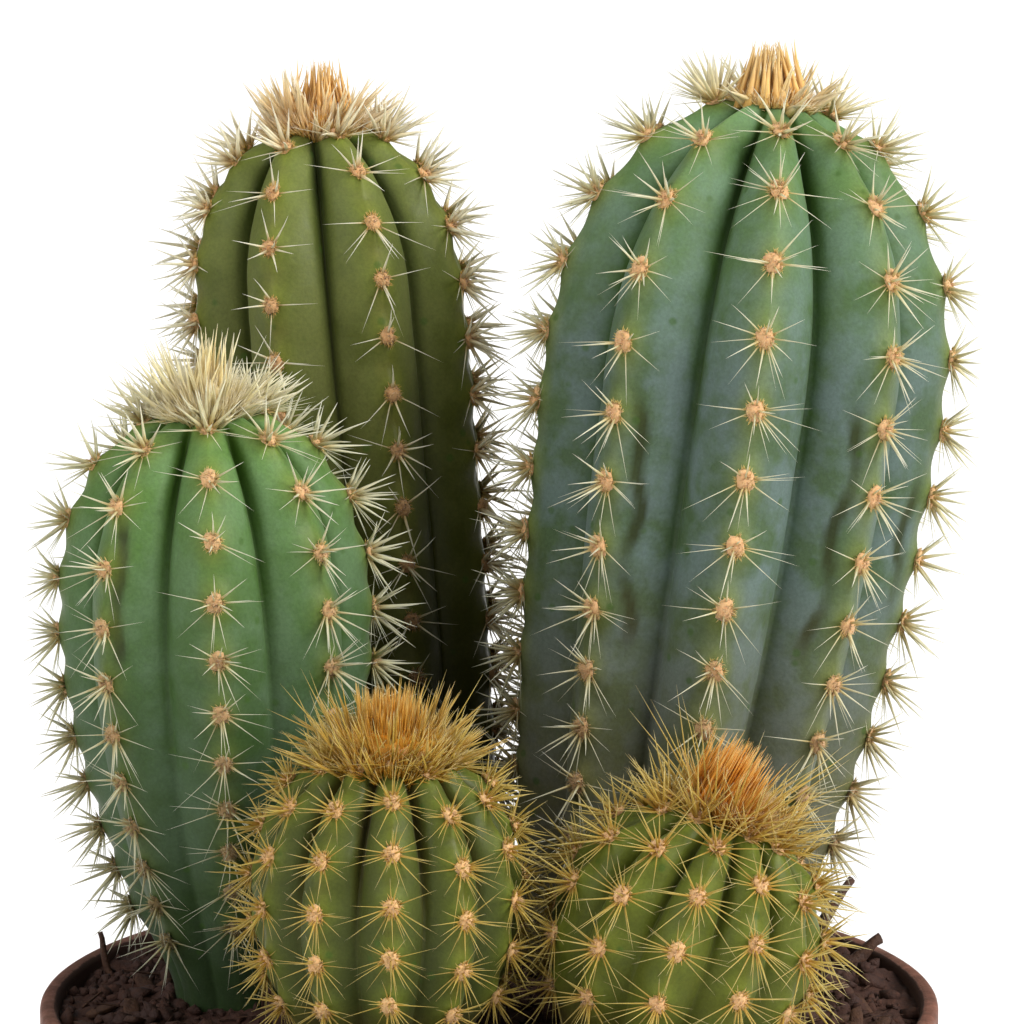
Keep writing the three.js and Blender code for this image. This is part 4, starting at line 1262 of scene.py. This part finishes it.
def make_crumbs(look):
    """Loose crumbs of peat, some of them up against the wall."""
    rng = random.Random(CRUMB_SEED)
    shapes = [lump_shape(f"crumb_{seed}", seed + 10, 1, 0.9) for seed in range(CRUMB_SHAPES)]
    bm = bmesh.new()
    for _ in range(look.crumbs):
        x, y = free_spot(rng, 0.985)
        size = 0.35 + 1.1 * rng.random() ** 3
        place = Matrix.Translation((x, y, rough_soil(x, y) + size * 0.25))
        angle = rng.uniform(0, TURN)
        axis = Vector((rng.uniform(-1, 1), rng.uniform(-1, 1), 1)).normalized()
        stretch = Matrix.Diagonal((size * rng.uniform(0.8, 1.5), size, size * rng.uniform(0.6, 1), 1))
        scatter(bm, rng.choice(shapes), place @ Matrix.Rotation(angle, 4, axis) @ stretch)
    peat = peat_material("loose peat crumbs", look.peat, look.dry, 0.8)
    finish_piece(bm, "soil_crumbs", peat, "soil")


def make_litter(look):
    """Fibres, bark flakes and twigs on the soil."""
    rng = random.Random(LITTER_SEED)
    noise.seed_set(LITTER_SEED)  # noise_vector, which shapes bark and twigs, would otherwise differ each run
    fibres = Needles(sides=4, cuts=4, taper=0.25)
    for _ in range(look.fibres):
        x, y = free_spot(rng, LITTER_REACH)
        heading = rng.uniform(0, TURN)
        direction = np.array((math.cos(heading), math.sin(heading), rng.uniform(-0.1, 0.25)))
        root = np.array((x, y, rough_soil(x, y) + 0.1))
        reach = rng.uniform(2.5, 9)
        end = root + direction * reach
        if math.hypot(end[0], end[1]) < pot_inside(POT_HEIGHT) - 1:
            fibres.add(root, direction, reach, rng.uniform(0.09, 0.24), rng)
    bark = bark_shape()
    for _ in range(look.flakes):
        x, y = free_spot(rng, LITTER_REACH)
        size = Matrix.Diagonal((rng.uniform(1.2, 3.4), rng.uniform(0.6, 1.4), rng.uniform(0.25, 0.6), 1))
        turn = Matrix.Rotation(rng.uniform(0, TURN), 4, "Z") @ Matrix.Rotation(rng.gauss(0, 0.5), 4, "Y")
        scatter(fibres.bm, bark, Matrix.Translation((x, y, rough_soil(x, y) + 0.4)) @ turn @ size)
    twig = twig_shape()
    for at, heading, rise, reach, thick in TWIGS:
        turn = Matrix.Rotation(math.radians(heading), 4, "Z")
        tilt = turn @ Matrix.Rotation(math.radians(90 - rise), 4, "Y")
        size = Matrix.Diagonal((thick / 2, thick / 2, reach, 1))
        sunk = Matrix.Translation((0, 0, -TWIG_DEPTH * reach))
        scatter(fibres.bm, twig, Matrix.Translation((*at, soil_height(*at))) @ tilt @ sunk @ size)
    wood = peat_material("peat fibre and bark", look.wood, look.fibre, 0.9)
    finish_piece(fibres.bm, "soil_litter", wood, "soil")


def bark_shape():
    """A flake of bark with broken edges."""
    bm = bmesh.new()
    bmesh.ops.create_cube(bm, size=2)
    bmesh.ops.bevel(
        bm, geom=bm.edges, offset=0.35, offset_type="OFFSET", affect="EDGES", segments=1, profile=0.5,
        material=-1,
    )
    for vert in bm.verts:
        vert.co += 0.35 * noise.noise_vector(vert.co * 0.9)
    return to_mesh(bm, "bark")


def twig_shape():
    """A knotty broken twig of radius 1 and length 1 up +Z."""
    bm = raise_rod(7, TWIG_TOP, 6)
    for vert in bm.verts:
        bumps = noise.noise_vector(Vector((vert.co.x, vert.co.y, vert.co.z * 6)))
        vert.co.x += 0.3 * bumps.x + 0.5 * math.sin(vert.co.z * 5)
        vert.co.y += 0.3 * bumps.y
    return to_mesh(bm, "twig")


# ---------- operators ----------

FLOOR_RADIUS = 9.0  # metres
KEY_SOFTNESS = 38.0  # degrees across each lamp's disc
EDGE_SOFTNESS = 60.0
EDGE_PLACE = (-52.0, 34.0)  # degrees to the right of the viewer, and up
LAMP_COLOUR = (1.0, 0.99, 0.975)
SKY_COLOUR = "#fbfcff"
CAMERA_LENS = 203.16
CAMERA_PLACE = (0.00305, -0.750, 0.3053)
CAMERA_TILT = 79.75  # degrees up from straight down


def add_sun(name, strength, softness, turn, rise):
    """A soft lamp that stands turned to the right of the viewer and so high over the floor."""
    light = bpy.data.lights.new(name, "SUN")
    light.energy = strength
    light.angle = math.radians(softness)
    light.color = LAMP_COLOUR
    put_in_scene(name, light).rotation_euler = (math.pi / 2 - rise, 0, turn)


def on_stems(make, context):
    """Makes a piece on every stem, with that stem's settings."""
    for stem in STEMS:
        make(stem, getattr(context.scene.cactus, stem.key))
    return {"FINISHED"}


class CACTUS_OT_make_stage(Operator):
    """Lay the pale floor, hang the soft light and set the camera at the photograph's angle"""

    bl_idname = "cactus.make_stage"
    bl_label = "Stage"

    def execute(self, context):
        scene = context.scene
        look = scene.cactus.stage
        bm = bmesh.new()
        bmesh.ops.create_circle(bm, cap_ends=True, segments=96, radius=FLOOR_RADIUS)
        mesh = to_mesh(bm, "floor")
        mesh.materials.append(floor_material(look))
        put_in_scene("floor", mesh)

        turn, rise = map(math.radians, EDGE_PLACE)
        add_sun("key", look.key, KEY_SOFTNESS, look.key_turn, look.key_rise)
        add_sun("edge", look.edge, EDGE_SOFTNESS, turn, rise)
        scene.world = bpy.data.worlds.new("studio")
        scene.world.use_nodes = True
        sky = scene.world.node_tree.nodes["Background"]
        sky.inputs["Color"].default_value = linear(SKY_COLOUR)
        sky.inputs["Strength"].default_value = look.fill

        camera = bpy.data.cameras.new("camera")
        camera.lens = CAMERA_LENS
        camera.sensor_width = 36
        camera.clip_end = 60
        scene.camera = put_in_scene("camera", camera)
        scene.camera.location = CAMERA_PLACE
        scene.camera.rotation_euler = (math.radians(CAMERA_TILT), 0, 0)
        scene.view_settings.view_transform = "Standard"
        return {"FINISHED"}


class CACTUS_OT_make_pot(Operator):
    """Turn the nursery pot with its rolled lip, collar and drainage holes"""

    bl_idname = "cactus.make_pot"
    bl_label = "Pot"

    def execute(self, context):
        make_pot(context.scene.cactus.pot)
        return {"FINISHED"}


class CACTUS_OT_make_soil(Operator):
    """Fill the pot with peat, its crumbs, fibres, bark flakes and twigs"""

    bl_idname = "cactus.make_soil"
    bl_label = "Soil"

    def execute(self, context):
        make_soil(context.scene.cactus.soil)
        return {"FINISHED"}


class CACTUS_OT_make_flesh(Operator):
    """Grow the ribbed flesh of the five stems"""

    bl_idname = "cactus.make_flesh"
    bl_label = "Flesh"

    def execute(self, context):
        return on_stems(make_flesh, context)


class CACTUS_OT_make_areoles(Operator):
    """Set the felt areoles along the ribs"""

    bl_idname = "cactus.make_areoles"
    bl_label = "Areoles"

    def execute(self, context):
        return on_stems(make_areoles, context)


class CACTUS_OT_make_spines(Operator):
    """Grow the spines out of the areoles"""

    bl_idname = "cactus.make_spines"
    bl_label = "Spines"

    def execute(self, context):
        return on_stems(make_spines, context)


class CACTUS_OT_make_crowns(Operator):
    """Grow the tuft of young spines on each stem"""

    bl_idname = "cactus.make_crowns"
    bl_label = "Crown tufts"

    def execute(self, context):
        return on_stems(make_crown, context)


OPERATORS = (
    CACTUS_OT_make_stage,
    CACTUS_OT_make_pot,
    CACTUS_OT_make_soil,
    CACTUS_OT_make_flesh,
    CACTUS_OT_make_areoles,
    CACTUS_OT_make_spines,
    CACTUS_OT_make_crowns,
)


class CACTUS_PT_panel(Panel):
    """The settings and the makers of the plant"""

    bl_idname = "CACTUS_PT_panel"
    bl_label = "Potted Cactus"
    bl_space_type = "VIEW_3D"
    bl_region_type = "UI"
    bl_category = "Cactus"

    def draw(self, context):
        layout = self.layout
        settings = context.scene.cactus
        for name in CactusSettings.__annotations__:
            group = getattr(settings, name)
            box = layout.box()
            box.label(text=settings.bl_rna.properties[name].name)
            for field in group.__annotations__:
                box.prop(group, field)
        for operator in OPERATORS:
            layout.operator(operator.bl_idname)


CLASSES = (
    StemTallRight,
    StemTallBack,
    StemLeft,
    StemSmallLeft,
    StemSmallRight,
    SoilSettings,
    PotSettings,
    StageSettings,
    CactusSettings,
    *OPERATORS,
    CACTUS_PT_panel,
)


def register():
    for cls in CLASSES:
        bpy.utils.register_class(cls)
    bpy.types.Scene.cactus = PointerProperty(type=CactusSettings)


def unregister():
    del bpy.types.Scene.cactus
    for cls in reversed(CLASSES):
        bpy.utils.unregister_class(cls)


def main():
    register()
    bpy.ops.cactus.make_stage()
    bpy.ops.cactus.make_pot()
    bpy.ops.cactus.make_soil()
    bpy.ops.cactus.make_flesh()
    bpy.ops.cactus.make_areoles()
    bpy.ops.cactus.make_spines()
    bpy.ops.cactus.make_crowns()


if __name__ == "__main__":
    main()
